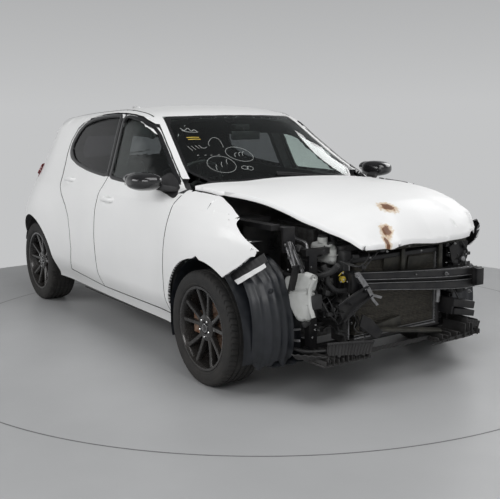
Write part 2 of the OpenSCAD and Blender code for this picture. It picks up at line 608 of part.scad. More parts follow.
module front_seats() color("dimgray") for (s = [-1, 1]) translate([0, s * seat_y, 0]) {
    w = seat_width / 2;
    box([-400, -w + 30, 240 + seam], [20, w - 30, 345]);
    translate([-200, 0, 395]) rotate([0, -6, 0]) box([-240, -w, -60], [260, w, 60]);
    translate([-400, 0, 400]) rotate([0, -22, 0]) {
        box([-70, 6 - w, 0], [50, w - 6, 560]);
        box([-50, -125, 590], [40, 125, 750]);
        box([-20, -60, 550], [0, -45, 600]);
        box([-20, 45, 550], [0, 60, 600]);
    }
}
module rear_seat() color("dimgray") {
    box([-1010, -570, 372 + seam], [-600, 570, 490]);
    translate([-1010, 0, 430]) rotate([0, -20, 0]) {
        box([-90, -564, 0], [30, 564, 470]);
        for (y = [-340, 0, 340]) box([-60, y - 110, 469], [0, y + 110, 600]);
    }
}
module dashboard() color("black") {
    box([560, -600, 700], [800 - seam, 600, 985]);
    box([300, -105, 335 + seam], [600, 105, 720]);
    translate([320, -seat_y, 970]) rotate([0, column_angle - 90, 0]) {
        translate([0, 0, -330]) cylinder(h = 272, r = 34);
        translate([0, 0, -330]) cylinder(h = 320, r = 12);
    }
}
module steering_wheel() color("black") translate([320, -seat_y, 970]) rotate([0, column_angle - 90, 0]) {
    rotate_extrude($fn = 96) translate([steering_radius, 0]) circle(r = 14);
    difference() {
        union() {
            translate([0, 0, -40]) cylinder(h = 52, r = 52);
            translate([-14, -steering_radius, -10]) cube([40, 2 * steering_radius, 16]);
            translate([0, -24, -10]) cube([steering_radius, 48, 16]);
        }
        translate([0, 0, -45]) cylinder(h = 40, r = 12 + spindle_play);
    }
}

// Wheel parts are drawn with the outboard side towards +Y and the centre at the origin.
module lathe() rotate([-90, 0, 0]) rotate_extrude($fn = 128) children();
module rim_shape() {
    r = bead_radius;
    difference() {
        union() {
            lathe() polygon([[r + 9, 95], [r + 9, 88], [r, 84], [r - 4, 60], [r - 16, 30], [r - 16, -30], [r - 4, -60],
                [r, -84], [r + 9, -88], [r + 9, -95], [r + 1, -95], [r - 10, -84], [r - 13, -60], [r - 24, -30],
                [r - 24, 30], [r - 13, 60], [r - 9, 84], [r + 1, 95]]);
            rotate([-90, 0, 0]) translate([0, 0, 20]) cylinder(h = 54, r = 62);
            rotate([-90, 0, 0]) translate([0, 0, -14]) cylinder(h = 35, r = 72);
            rotate([-90, 0, 0]) translate([0, 0, -12]) cylinder(h = 22, r = disc_radius);
            for (k = [0 : spoke_pairs - 1]) for (a = [-10, 10]) rotate([0, k * 360 / spoke_pairs + a, 0])
                translate([-spoke_width / 2, 52, 40]) cube([spoke_width, 24, r - 9.5 - 40]);
        }
        rotate([-90, 0, 0]) translate([0, 0, -20]) cylinder(h = 84, r = spindle_radius + spindle_play);
    }
}
module tyre_shape() {
    r = bead_radius; t = tyre_radius; w = tyre_width / 2;
    lathe() polygon([[r + seam, 84 - seam], [r + 9 + seam, 84 - seam], [r + 10, w - 8], [r + 24, w - 2], [(r + t) / 2, w],
        [t - 18, w - 3], [t - 5, w - 12], [t, w - 28], [t, 28 - w], [t - 5, 12 - w], [t - 18, 3 - w], [(r + t) / 2, -w],
        [r + 24, 2 - w], [r + 10, 8 - w], [r + 9 + seam, seam - 84], [r + seam, seam - 84], [r + seam, -70], [r + 14, -80],
        [r + 30, 12 - w], [t - 30, 14 - w], [t - 14, 34 - w], [t - 11, 0], [t - 14, w - 34], [t - 30, w - 14],
        [r + 30, w - 12], [r + 14, 80], [r + seam, 70]]);
}
module put(x, y) translate([x, y, tyre_radius]) if (y < 0) mirror([0, 1, 0]) children(); else children();
module rim_front_right() color("black") put(front_axle_x, -track_front / 2) rim_shape();
module rim_front_left() color("black") put(front_axle_x, track_front / 2) rim_shape();
module rim_rear_right() color("black") put(rear_axle_x, -track_rear / 2) rim_shape();
module rim_rear_left() color("black") put(rear_axle_x, track_rear / 2) rim_shape();
module tyre_front_right() color("dimgray") put(front_axle_x, -track_front / 2) tyre_shape();
module tyre_front_left() color("dimgray") put(front_axle_x, track_front / 2) tyre_shape();
module tyre_rear_right() color("dimgray") put(rear_axle_x, -track_rear / 2) tyre_shape();
module tyre_rear_left() color("dimgray") put(rear_axle_x, track_rear / 2) tyre_shape();

module knuckle() {
    k = kingpin_y - track_front / 2;
    difference() {
        union() {
            rotate([-90, 0, 0]) translate([0, 0, -95]) cylinder(h = 72, r = 50);
            translate([-16, k - 22, -68]) cube([32, 44, 60]);
        }
        translate([0, k, -90]) cylinder(h = 36, r = 9 + spindle_play);
    }
    rotate([-90, 0, 0]) translate([0, 0, -30]) cylinder(h = 92, r = spindle_radius);
    // caliper round the rear of the disc
    difference() {
        translate([-158, -48, -55]) cube([66, 88, 110]);
        rotate([-90, 0, 0]) translate([0, 0, -17]) cylinder(h = 32, r = disc_radius + 6);
        rotate([-90, 0, 0]) translate([0, 0, -60]) cylinder(h = 110, r = 80);
    }
    translate([-120, -48, -20]) cube([90, 22, 40]);
}
module knuckle_right() color("gray") put(front_axle_x, -track_front / 2) knuckle();
module knuckle_left() color("gray") put(front_axle_x, track_front / 2) knuckle();

module rear_axle() color("dimgray") {
    translate([-1180, -520, 300]) rotate([-90, 0, 0]) cylinder(h = 1040, r = 32);
    for (s = [-1, 1]) {
        box([-1410, s * 500, 270], [-1020, s * 560, 330]);
        box([-1060, s * 505, 329], [-1020, s * 555, 360 - seam]);
        translate([rear_axle_x, s > 0 ? 555 : -720, arch_z]) rotate([-90, 0, 0]) cylinder(h = 165, r = 50);
        translate([rear_axle_x, s > 0 ? 700 : -805, arch_z]) rotate([-90, 0, 0]) cylinder(h = 105, r = spindle_radius);
    }
}
module exhaust_and_tank() color("gray") {
    box([-990, -480, 240], [-600, 480, 360 - seam]);
    box([-1720, -420, 250], [-1480, 420, 352]);
    box([-1640, -40, 351], [-1600, 40, 360 - seam]);
    translate([-1500, 0, 215]) rotate([0, 90, 0]) cylinder(h = 2300, r = 24);
    box([-1500, -24, 215], [-1480, 24, 300]);
    for (x = [-380, 500]) box([x, -4, 215], [x + 20, 4, 323 - seam]);
}

floor_pan();
body_side_right();
body_side_left();
roof();
bulkhead();
windscreen();
rear_bumper();
tail_lamps();
wing_right();
wing_left();
front_structure();
radiator();
bumper_beam();
engine();
bay_tanks();
liners_and_trays();
front_seats();
rear_seat();
dashboard();
rear_axle();
exhaust_and_tank();
door_front_right();
door_front_left();
door_rear_right();
door_rear_left();
glass_front_right();
glass_front_left();
glass_rear_right();
glass_rear_left();
mirror_right();
mirror_left();
tailgate();
tailgate_glass();
bonnet();
steering_wheel();
rim_front_right();
rim_front_left();
rim_rear_right();
rim_rear_left();
tyre_front_right();
tyre_front_left();
tyre_rear_right();
tyre_rear_left();
knuckle_right();
knuckle_left();
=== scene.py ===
"""Looks of the crashed white hatchback: smooth panels, trims, wheels, seats and the torn-open front end."""
import json
import math

import bmesh
import bpy
import numpy as np
from mathutils import Matrix, Vector
from mathutils.bvhtree import BVHTree


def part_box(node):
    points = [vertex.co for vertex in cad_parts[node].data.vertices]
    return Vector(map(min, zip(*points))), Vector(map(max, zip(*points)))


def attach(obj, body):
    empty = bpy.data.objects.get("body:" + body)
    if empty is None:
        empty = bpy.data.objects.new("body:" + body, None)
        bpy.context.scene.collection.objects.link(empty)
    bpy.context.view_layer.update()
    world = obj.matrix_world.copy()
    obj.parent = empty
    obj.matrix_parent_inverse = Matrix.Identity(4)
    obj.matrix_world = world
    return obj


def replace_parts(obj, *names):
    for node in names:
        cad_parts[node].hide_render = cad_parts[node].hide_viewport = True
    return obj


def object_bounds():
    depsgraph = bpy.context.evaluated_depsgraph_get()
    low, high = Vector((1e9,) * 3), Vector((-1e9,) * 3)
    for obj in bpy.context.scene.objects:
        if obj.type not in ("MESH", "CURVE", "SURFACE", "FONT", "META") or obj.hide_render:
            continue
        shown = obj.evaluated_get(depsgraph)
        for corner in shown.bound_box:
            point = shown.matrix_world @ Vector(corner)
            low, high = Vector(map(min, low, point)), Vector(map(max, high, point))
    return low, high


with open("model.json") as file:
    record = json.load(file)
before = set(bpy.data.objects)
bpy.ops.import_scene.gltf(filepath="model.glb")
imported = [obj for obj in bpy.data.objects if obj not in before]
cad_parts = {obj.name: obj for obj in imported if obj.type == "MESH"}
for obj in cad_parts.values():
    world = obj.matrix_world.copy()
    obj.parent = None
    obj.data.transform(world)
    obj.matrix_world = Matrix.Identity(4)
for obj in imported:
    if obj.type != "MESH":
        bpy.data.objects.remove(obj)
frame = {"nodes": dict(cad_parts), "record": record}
CAD_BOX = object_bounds()
NODES = frame["nodes"]
BODIES = frame["record"]["behaviour"]["bodies"]
BODY_OF = {n: b for b, members in BODIES.items() for n in members}
MM = 0.001
SIDES = {"right": -1, "left": 1}

# ---------------------------------------------------------------- camera and stage


def camera():
    """The photograph's viewpoint: a standing viewer ahead of the front right corner."""
    data = bpy.data.cameras.new("camera")
    data.lens, data.sensor_width = 56.45, 36.0
    data.clip_end = 60
    cam = bpy.data.objects.new("camera", data)
    yaw, pitch, roll = (math.radians(a) for a in (146.0, -9.3, -0.6))
    look = Vector((math.cos(yaw) * math.cos(pitch), math.sin(yaw) * math.cos(pitch), math.sin(pitch)))
    turn = look.to_track_quat("-Z", "Y").to_matrix().to_4x4()
    cam.matrix_world = Matrix.Translation((4.67, -2.88, 1.384)) @ turn @ Matrix.Rotation(roll, 4, "Z")
    bpy.context.scene.collection.objects.link(cam)
    bpy.context.scene.camera = cam


def flat_ring(name, centre, inner, outer, z, mat, segments=256):
    """A flat disc or ring on the ground, left out of the part itself."""
    verts = []
    for r in (max(inner, 0.001), outer):
        verts += [(centre[0] + r * math.cos(2 * math.pi * k / segments),
                   centre[1] + r * math.sin(2 * math.pi * k / segments), z)
                  for k in range(segments)]
    faces = [(k, segments + k, segments + (k + 1) % segments, (k + 1) % segments) for k in range(segments)]
    mesh = bpy.data.meshes.new(name)
    mesh.from_pydata(verts, [], faces)
    mesh.materials.append(mat)
    obj = bpy.data.objects.new(name, mesh)
    bpy.context.scene.collection.objects.link(obj)


def stage():
    """A plain pale floor under soft overhead panels."""
    scene = bpy.context.scene
    scene.view_settings.view_transform = "Standard"
    floor = surface("floor_paint", (0.47, 0.475, 0.48), (0.44, 0.445, 0.45), scale=1.5, rough=(0.35, 0.5),
                    bump=0.02)
    flat_ring("floor", (0.43, -0.26), 0.0, 3.35, 0.0, floor)
    groove = surface("turntable_gap", (0.20, 0.20, 0.205), (0.16, 0.16, 0.165), scale=30, rough=(0.5, 0.7),
                     bump=0.05)
    flat_ring("turntable_gap", (0.36, 0.13), 2.157, 2.166, 0.0005, groove)
    world = bpy.data.worlds.new("studio")
    scene.world = world
    world.use_nodes = True
    tree = world.node_tree
    coords = tree.nodes.new("ShaderNodeTexCoord")
    split = tree.nodes.new("ShaderNodeSeparateXYZ")
    link(tree, coords.outputs["Generated"], split.inputs[0])
    ramp = tree.nodes.new("ShaderNodeValToRGB")
    ramp.color_ramp.elements[0].position, ramp.color_ramp.elements[0].color = 0.02, (0.52, 0.525, 0.53, 1)
    ramp.color_ramp.elements[1].position, ramp.color_ramp.elements[1].color = 0.55, (0.10, 0.102, 0.105, 1)
    link(tree, split.outputs[2], ramp.inputs[0])
    link(tree, ramp.outputs[0], tree.nodes["Background"].inputs[0])
    tree.nodes["Background"].inputs[1].default_value = 1.05
    for name, place, size, power in [("overhead", (2.6, 0, 4.8), (3.0, 4.0), 120),
                                     ("left", (0.0, 5.0, 3.4), (4.5, 2.0), 78),
                                     ("front_right", (4.8, -4.2, 3.4), (3.0, 2.0), 88),
                                     ("side", (-1.0, -5.4, 3.2), (4.5, 2.0), 100)]:
        light = bpy.data.lights.new(name, "AREA")
        light.shape, light.size, light.size_y, light.energy = "RECTANGLE", size[0], size[1], power
        lamp = bpy.data.objects.new(name, light)
        lamp.location = place
        lamp.rotation_euler = (Vector((0, 0, 0.5)) - Vector(place)).to_track_quat("-Z", "Y").to_euler()
        scene.collection.objects.link(lamp)


# ---------------------------------------------------------------- materials


def link(tree, a, b):
    tree.links.new(a, b)


def surface(name, base, second, scale=12.0, rough=(0.4, 0.6), metal=0.0, bump=0.1, bump_scale=250.0,
            stretch=(1, 1, 1), coat=0.0, transmission=0.0, sheen=0.0, dirt=0.0, dirt_top=0.45,
            dirt_colour=(0.13, 0.11, 0.09)):
    """Principled material whose colour, roughness and fine relief vary; dirt gathers low on the car."""
    mat = bpy.data.materials.new(name)
    mat.use_nodes = True
    tree = mat.node_tree
    bsdf = tree.nodes["Principled BSDF"]
    bsdf.inputs["Metallic"].default_value = metal
    bsdf.inputs["Coat Weight"].default_value = coat
    bsdf.inputs["Coat Roughness"].default_value = 0.06
    bsdf.inputs["Transmission Weight"].default_value = transmission
    bsdf.inputs["Sheen Weight"].default_value = sheen
    coords = tree.nodes.new("ShaderNodeTexCoord")
    mapping = tree.nodes.new("ShaderNodeMapping")
    mapping.inputs["Scale"].default_value = stretch
    link(tree, coords.outputs["Object"], mapping.inputs["Vector"])
    noise = tree.nodes.new("ShaderNodeTexNoise")
    noise.inputs["Scale"].default_value = scale
    noise.inputs["Detail"].default_value = 6
    link(tree, mapping.outputs[0], noise.inputs["Vector"])
    ramp = tree.nodes.new("ShaderNodeValToRGB")
    ramp.color_ramp.elements[0].position, ramp.color_ramp.elements[1].position = 0.35, 0.65
    ramp.color_ramp.elements[0].color, ramp.color_ramp.elements[1].color = (*base, 1), (*second, 1)
    link(tree, noise.outputs["Fac"], ramp.inputs[0])
    spread = tree.nodes.new("ShaderNodeMapRange")
    spread.inputs["To Min"].default_value, spread.inputs["To Max"].default_value = rough
    link(tree, noise.outputs["Fac"], spread.inputs["Value"])
    link(tree, spread.outputs[0], bsdf.inputs["Roughness"])
    colour = ramp.outputs[0]
    if dirt:
        split = tree.nodes.new("ShaderNodeSeparateXYZ")
        link(tree, coords.outputs["Object"], split.inputs[0])
        low = tree.nodes.new("ShaderNodeMapRange")
        low.inputs["From Min"].default_value, low.inputs["From Max"].default_value = dirt_top, 0.12
        link(tree, split.outputs[2], low.inputs["Value"])
        spots = tree.nodes.new("ShaderNodeTexNoise")
        spots.inputs["Scale"].default_value, spots.inputs["Detail"].default_value = 9, 8
        link(tree, coords.outputs["Object"], spots.inputs["Vector"])
        amount = tree.nodes.new("ShaderNodeMath")
        amount.operation = "MULTIPLY"
        link(tree, low.outputs[0], amount.inputs[0])
        link(tree, spots.outputs["Fac"], amount.inputs[1])
        scaled = tree.nodes.new("ShaderNodeMath")
        scaled.operation = "MULTIPLY"
        scaled.inputs[1].default_value = dirt
        link(tree, amount.outputs[0], scaled.inputs[0])
        mix = tree.nodes.new("ShaderNodeMix")
        mix.data_type = "RGBA"
        mix.inputs["B"].default_value = (*dirt_colour, 1)
        link(tree, scaled.outputs[0], mix.inputs["Factor"])
        link(tree, colour, mix.inputs["A"])
        colour = mix.outputs["Result"]
    link(tree, colour, bsdf.inputs["Base Color"])
    if bump:
        fine = tree.nodes.new("ShaderNodeTexNoise")
        fine.inputs["Scale"].default_value, fine.inputs["Detail"].default_value = bump_scale, 3
        link(tree, mapping.outputs[0], fine.inputs["Vector"])
        relief = tree.nodes.new("ShaderNodeBump")
        relief.inputs["Strength"].default_value, relief.inputs["Distance"].default_value = bump, 0.002
        link(tree, fine.outputs["Fac"], relief.inputs["Height"])
        link(tree, relief.outputs[0], bsdf.inputs["Normal"])
    return mat


def banded(mat, axis, pitch, strength, distance=0.002):
    """Adds regular ribs along one axis, for fins, tread cloth ribs and moulded grooves."""
    tree = mat.node_tree
    coords = next(n for n in tree.nodes if n.type == "TEX_COORD")
    bsdf = tree.nodes["Principled BSDF"]
    wave = tree.nodes.new("ShaderNodeTexWave")
    wave.bands_direction = axis
    wave.inputs["Scale"].default_value = 0.314 / pitch
    link(tree, coords.outputs["Object"], wave.inputs["Vector"])
    relief = tree.nodes.new("ShaderNodeBump")
    relief.inputs["Strength"].default_value, relief.inputs["Distance"].default_value = strength, distance
    link(tree, wave.outputs["Fac"], relief.inputs["Height"])
    old = bsdf.inputs["Normal"]
    if old.links:
        link(tree, old.links[0].from_socket, relief.inputs["Normal"])
    link(tree, relief.outputs[0], old)
    return mat


RUST = [((1.705, -0.015, 0.943), (0.046, 0.040, 0.15)), ((1.826, -0.137, 0.862), (0.024, 0.030, 0.15)),
        ((1.870, -0.168, 0.810), (0.030, 0.020, 0.15))]


def rust_patches(mat):
    """Adds the bare, rusted spots with cream edges in the bonnet's dent."""
    tree = mat.node_tree
    bsdf = tree.nodes["Principled BSDF"]
    coords = next(n for n in tree.nodes if n.type == "TEX_COORD")
    ragged = tree.nodes.new("ShaderNodeTexNoise")
    ragged.inputs["Scale"].default_value, ragged.inputs["Detail"].default_value = 60, 5
    link(tree, coords.outputs["Object"], ragged.inputs["Vector"])
    nearest = None
    for centre, radii in RUST:
        moved = tree.nodes.new("ShaderNodeVectorMath")
        moved.operation = "SUBTRACT"
        moved.inputs[1].default_value = centre
        link(tree, coords.outputs["Object"], moved.inputs[0])
        scaled = tree.nodes.new("ShaderNodeVectorMath")
        scaled.operation = "DIVIDE"
        scaled.inputs[1].default_value = radii
        link(tree, moved.outputs[0], scaled.inputs[0])
        length = tree.nodes.new("ShaderNodeVectorMath")
        length.operation = "LENGTH"
        link(tree, scaled.outputs[0], length.inputs[0])
        if nearest is None:
            nearest = length.outputs["Value"]
            continue
        least = tree.nodes.new("ShaderNodeMath")
        least.operation = "MINIMUM"
        link(tree, nearest, least.inputs[0])
        link(tree, length.outputs["Value"], least.inputs[1])
        nearest = least.outputs[0]
    worn = tree.nodes.new("ShaderNodeMath")
    worn.operation = "MULTIPLY_ADD"
    worn.inputs[1].default_value = 1.5
    link(tree, ragged.outputs["Fac"], worn.inputs[0])
    link(tree, nearest, worn.inputs[2])
    ramp = tree.nodes.new("ShaderNodeValToRGB")
    stops = ramp.color_ramp.elements
    stops[0].position, stops[0].color = 0.0, (0.10, 0.036, 0.012, 1)
    stops[1].position, stops[1].color = 1.0, (0.74, 0.66, 0.56, 1)
    for where, colour in ((0.72, (0.17, 0.065, 0.022)), (0.80, (0.58, 0.42, 0.28))):
        stop = stops.new(where)
        stop.color = (*colour, 1)
    halved = tree.nodes.new("ShaderNodeMath")
    halved.operation = "MULTIPLY"
    halved.inputs[1].default_value = 0.5
    link(tree, worn.outputs[0], halved.inputs[0])
    link(tree, halved.outputs[0], ramp.inputs[0])
    mask = tree.nodes.new("ShaderNodeMapRange")
    mask.inputs["From Min"].default_value, mask.inputs["From Max"].default_value = 1.12, 1.0
    link(tree, halved.outputs[0], mask.inputs["Value"])
    mix = tree.nodes.new("ShaderNodeMix")
    mix.data_type = "RGBA"
    link(tree, mask.outputs[0], mix.inputs["Factor"])
    link(tree, bsdf.inputs["Base Color"].links[0].from_socket, mix.inputs["A"])
    link(tree, ramp.outputs[0], mix.inputs["B"])
    link(tree, mix.outputs["Result"], bsdf.inputs["Base Color"])
    return mat


def materials():
    m = {}
    m["paint"] = surface("white_paint", (0.88, 0.882, 0.88), (0.86, 0.862, 0.86), 3, (0.36, 0.48), bump=0.015,
                         bump_scale=900, coat=0.3, dirt=0.35, dirt_top=0.36)
    m["inner_paint"] = surface("dull_white", (0.55, 0.55, 0.54), (0.42, 0.42, 0.40), 8, (0.5, 0.7), bump=0.1)
    m["plastic"] = surface("black_plastic", (0.018, 0.018, 0.019), (0.030, 0.030, 0.031), 22, (0.45, 0.65),
                           bump=0.25,
                           bump_scale=700, dirt=0.2, dirt_top=0.4)
    m["gloss"] = surface("gloss_black", (0.010, 0.010, 0.011), (0.016, 0.016, 0.017), 18, (0.12, 0.25),
                         bump=0.01, coat=0.5)
    m["alloy"] = surface("black_alloy", (0.016, 0.016, 0.017), (0.030, 0.030, 0.031), 30, (0.20, 0.34), 0.45,
                         bump=0.02,
                         coat=0.4, dirt=0.35, dirt_top=0.6)
    m["rubber"] = surface("tyre_rubber", (0.013, 0.013, 0.013), (0.024, 0.023, 0.022), 25, (0.7, 0.9),
                          bump=0.2,
                          bump_scale=600, dirt=0.10, dirt_top=0.4)
    m["steel"] = surface("dark_steel", (0.016, 0.016, 0.018), (0.034, 0.033, 0.033), 14, (0.30, 0.55), 0.5,
                         bump=0.08,
                         bump_scale=260)
    m["satin"] = surface("satin_liner", (0.010, 0.012, 0.015), (0.018, 0.020, 0.025), 18, (0.30, 0.46),
                         bump=0.12,
                         bump_scale=420)
    m["olive"] = surface("primed_steel", (0.070, 0.067, 0.055), (0.034, 0.033, 0.030), 22, (0.35, 0.6), 0.4,
                         bump=0.1)
    m["zinc"] = surface("zinc_steel", (0.36, 0.36, 0.37), (0.25, 0.25, 0.25), 40, (0.25, 0.5), 0.85,
                        bump=0.12)
    m["rust"] = surface("rusty_iron", (0.16, 0.07, 0.035), (0.30, 0.22, 0.17), 45, (0.5, 0.8), 0.4, bump=0.35)
    m["underbody"] = surface("underbody_sealer", (0.05, 0.05, 0.052), (0.09, 0.085, 0.08), 9, (0.6, 0.85),
                             bump=0.3)
    m["cast"] = surface("cast_aluminium", (0.15, 0.15, 0.148), (0.07, 0.068, 0.066), 35, (0.4, 0.65), 0.8,
                        bump=0.35)
    m["fins"] = banded(surface("radiator_fins", (0.085, 0.080, 0.070), (0.13, 0.12, 0.10), 60, (0.5, 0.7),
                               0.5, bump=0.3),
                       "Z", 0.008, 0.9)
    m["tank"] = surface("milky_plastic", (0.58, 0.59, 0.58), (0.48, 0.49, 0.47), 14, (0.35, 0.5), bump=0.06,
                        dirt=0.2,
                        dirt_top=0.8)
    m["hose"] = surface("hose_rubber", (0.014, 0.014, 0.015), (0.028, 0.028, 0.028), 50, (0.4, 0.6),
                        bump=0.15)
    m["exhaust"] = surface("exhaust_steel", (0.26, 0.23, 0.20), (0.14, 0.10, 0.075), 14, (0.35, 0.65), 0.85,
                           bump=0.15)
    m["red"] = surface("red_lens", (0.22, 0.010, 0.012), (0.16, 0.008, 0.010), 20, (0.08, 0.16), bump=0.02,
                       coat=0.6)
    m["clear"] = surface("clear_glass", (0.80, 0.88, 0.85), (0.78, 0.86, 0.83), 5, (0.0, 0.02), bump=0,
                         transmission=1)
    m["privacy"] = surface("privacy_glass", (0.16, 0.16, 0.17), (0.15, 0.15, 0.16), 5, (0.0, 0.03), bump=0,
                           transmission=1)
    m["cloth"] = banded(surface("seat_cloth", (0.020, 0.020, 0.022), (0.034, 0.034, 0.036), 160, (0.8, 0.95),
                                bump=0.5,
                                bump_scale=1400, sheen=0.4), "X", 0.004, 0.3)
    m["chrome"] = surface("bright_metal", (0.62, 0.62, 0.62), (0.5, 0.5, 0.5), 60, (0.15, 0.3), 1.0,
                          bump=0.02)
    m["yellow"] = surface("yellow_plastic", (0.55, 0.42, 0.05), (0.42, 0.30, 0.03), 60, (0.3, 0.5), bump=0.1)
    m["trim"] = surface("inner_trim", (0.030, 0.030, 0.032), (0.045, 0.045, 0.047), 60, (0.6, 0.8), bump=0.3,
                        bump_scale=900)
    m["carpet"] = surface("carpet_and_sealer", (0.022, 0.022, 0.023), (0.045, 0.043, 0.042), 160,
                          (0.85, 0.95), bump=0.6,
                          bump_scale=900)
    m["headliner"] = surface("headliner", (0.22, 0.22, 0.22), (0.17, 0.17, 0.17), 200, (0.85, 0.95),
                             bump=0.3, bump_scale=1500)
    m["bonnet"] = rust_patches(surface("bonnet_paint", (0.88, 0.882, 0.88), (0.86, 0.862, 0.86), 3,
                                       (0.42, 0.54), bump=0.015,
                                       bump_scale=900, coat=0.12))
    m["marker"] = surface("marker_paint", (0.42, 0.44, 0.43), (0.26, 0.28, 0.27), 400, (0.7, 0.9), bump=0.2)
    return m


# ---------------------------------------------------------------- the body's surface, in millimetres

FRONT_AXLE, REAR_AXLE = 1200, -1360
BELT = [(-1950, 660), (-1700, 775), (-1360, 830), (-900, 832), (-200, 838), (600, 828), (1200, 815),
        (1600, 760), (1950, 600)]
PROFILE = [(-1950, 1330), (-1600, 1415), (-1200, 1458), (-600, 1492), (-100, 1490), (240, 1425), (500, 1270),
           (790, 1072),
           (900, 995), (1200, 950), (1950, 700)]
CREST = [(700, 1040), (850, 1042), (950, 1034), (1200, 1012), (1400, 970), (1540, 920), (1700, 850),
         (1800, 800), (1950, 720)]
TAIL = [(200, -1860), (350, -1930), (550, -1945), (700, -1920), (820, -1875), (950, -1850), (1100, -1790),
        (1300, -1640),
        (1450, -1500)]
BONNET = [(800, 1062), (900, 1050), (1100, 1040), (1300, 1020), (1550, 980), (1700, 945), (1790, 905),
          (1850, 850),
          (1885, 800), (1910, 765)]
DROOP = [(884, 0), (1180, 0), (1320, 8), (1460, 32), (1621, 60), (1760, 60), (1840, 28), (1906, -26)]
FOLD = [(884, -690), (1000, -668), (1075, -655), (1090, -628), (1250, -575), (1540, -475), (1906, -345)]


def curve(points, v):
    """Smooth curve through points, as the part's own source draws it."""
    px, py = (np.array(c, float) for c in zip(*points))
    h, rise = np.diff(px), np.diff(py) / np.diff(px)
    inner = (rise[:-1] * h[1:] + rise[1:] * h[:-1]) / (px[2:] - px[:-2])
    slope = np.concatenate([rise[:1], inner, rise[-1:]])
    x = np.clip(np.asarray(v, float), px[0], px[-1])
    i = np.clip(np.searchsorted(px, x, side="right") - 1, 0, len(h) - 1)
    t = (x - px[i]) / h[i]
    return ((2 * t**3 - 3 * t**2 + 1) * py[i] + (t**3 - 2 * t**2 + t) * h[i] * slope[i]
            + (3 * t**2 - 2 * t**3) * py[i + 1] + (t**3 - t**2) * h[i] * slope[i + 1])


def ss(a, b, x):
    t = np.clip((np.asarray(x, float) - a) / (b - a), 0, 1)
    return t * t * (3 - 2 * t)


def hump(c, w, x):
    return np.maximum(0, 1 - ((np.asarray(x, float) - c) / w) ** 2) ** 2


def smax(a, b, k):
    h = np.maximum(0, k - np.abs(a - b)) / k
    return np.maximum(a, b) + h * h * k / 4


def side_w(x, z):
    return (curve(BELT, x)
            + 36 * hump(REAR_AXLE, 620, x) * ss(1000, 720, z)
            + 42 * hump(FRONT_AXLE, 600, x) * ss(980, 700, z)
            + 25 * hump(620, 400, z) - 75 * ss(420, 180,
                                               z) - 0.38 * np.maximum(z - 930, 0) - 35 * ss(800, 1100, z)
            - ss(-1200, -1750, x) * (65 * ss(620, 950, z) + 50 * ss(1100, 1350, z)))


def top_z(x, y):
    a = np.abs(y)
    s = 100 * (a / 620) ** 2 * ss(1000, 500, x) * ss(-200, 300, x)
    crown = 38 - 18 * ss(250, 700, x) + 12 * ss(900, 1400, x)
    roof = curve(PROFILE, x + s) - crown * (a / 600) ** 2.2
    t = ss(600, 690, a) * ss(700, 800, x)
    return roof * (1 - t) + t * np.maximum(roof, curve(CREST, x) - 15 * (a / 700) ** 4)


def body(x, y, z):
    """Negative inside the car, close to the distance in millimetres near its skin."""
    top = smax(np.abs(y) - side_w(x, z), z - top_z(x, y), 80 + 40 * ss(500, 900, x))
    return smax(top, curve(TAIL, z) + 140 * (np.abs(y) / 700) ** 2.6 - x, 100)


def gradient(p, e=1.0):
    """Outward direction of the skin at points p, not normalised."""
    x, y, z = p.T
    return np.stack([body(x + e, y, z) - body(x - e, y, z), body(x, y + e, z) - body(x, y - e, z),
                     body(x, y, z + e) - body(x, y, z - e)], 1) / (2 * e)


def settle(p, steps=4):
    """Moves points onto the skin, straight along its normal."""
    p = p.copy()
    for _ in range(steps):
        g = gradient(p)
        p -= (body(*p.T) / np.maximum((g * g).sum(1), 1e-6))[:, None] * g
    return p


def fold_y(x):
    return curve(FOLD, x)


def bonnet_z(x, y):
    """Height of the buckled bonnet's upper face."""
    a, d = np.abs(y), np.maximum(0, y - fold_y(x))
    s = np.where(y > 0, 160, 45) * (a / 620) ** 2.4 * ss(1200, 1800, x)
    return (curve(BONNET, x + s) - 35 * (a / 620) ** 2 - curve(DROOP, x) * np.exp(-(d / 240) ** 1.6)
            - 30 * ss(300, 600, y) * ss(1500, 1750, x) + 22 * ss(-300, -640, y) * ss(1150, 950, x)
            - 12 * hump(-95, 60, y) * ss(1640, 1800, x))


FRONT_EDGE = [(-345, 1906), (-290, 1903), (-205, 1882), (-150, 1874), (-100, 1890), (0, 1886), (150, 1878),
              (300, 1850), (450, 1808),
              (590, 1765), (650, 1722)]
FRONT_HEIGHT = [(-345, 789), (-267, 783), (-185, 775), (-140, 768), (-106, 780), (-37, 787), (80, 779),
                (186, 771), (341, 767),
                (520, 762), (650, 776)]


def bonnet_top(x, y):
    """The bonnet's height with its front edge where the photograph shows it."""
    edge_x = np.interp(y, *zip(*FRONT_EDGE))
    lift = curve(FRONT_HEIGHT, y) - bonnet_z(edge_x, y)
    return bonnet_z(x, y) + lift * np.exp(-((edge_x - x) / 85) ** 2)


def solid_bonnet_z(x, y):
    """Height of the CAD bonnet's upper face, which the visual one is moved from."""
    a, d = np.abs(y), np.maximum(0, y - fold_y(x))
    s = np.where(y > 0, 160, 45) * (a / 620) ** 2.4 * ss(1200, 1800, x)
    return (curve(BONNET,
                  x + s) - 35 * (a / 620) ** 2 - 85 * ss(1000, 1500,
                                                         x) * ss(2050, 1600, x) * np.exp(-(d / 110) ** 1.5)
            - 30 * ss(300, 600, y) * ss(1500, 1750, x) + 22 * ss(-300, -640, y) * ss(1150, 950, x)
            - 26 * hump(-95, 55, y) * ss(1640, 1800, x))


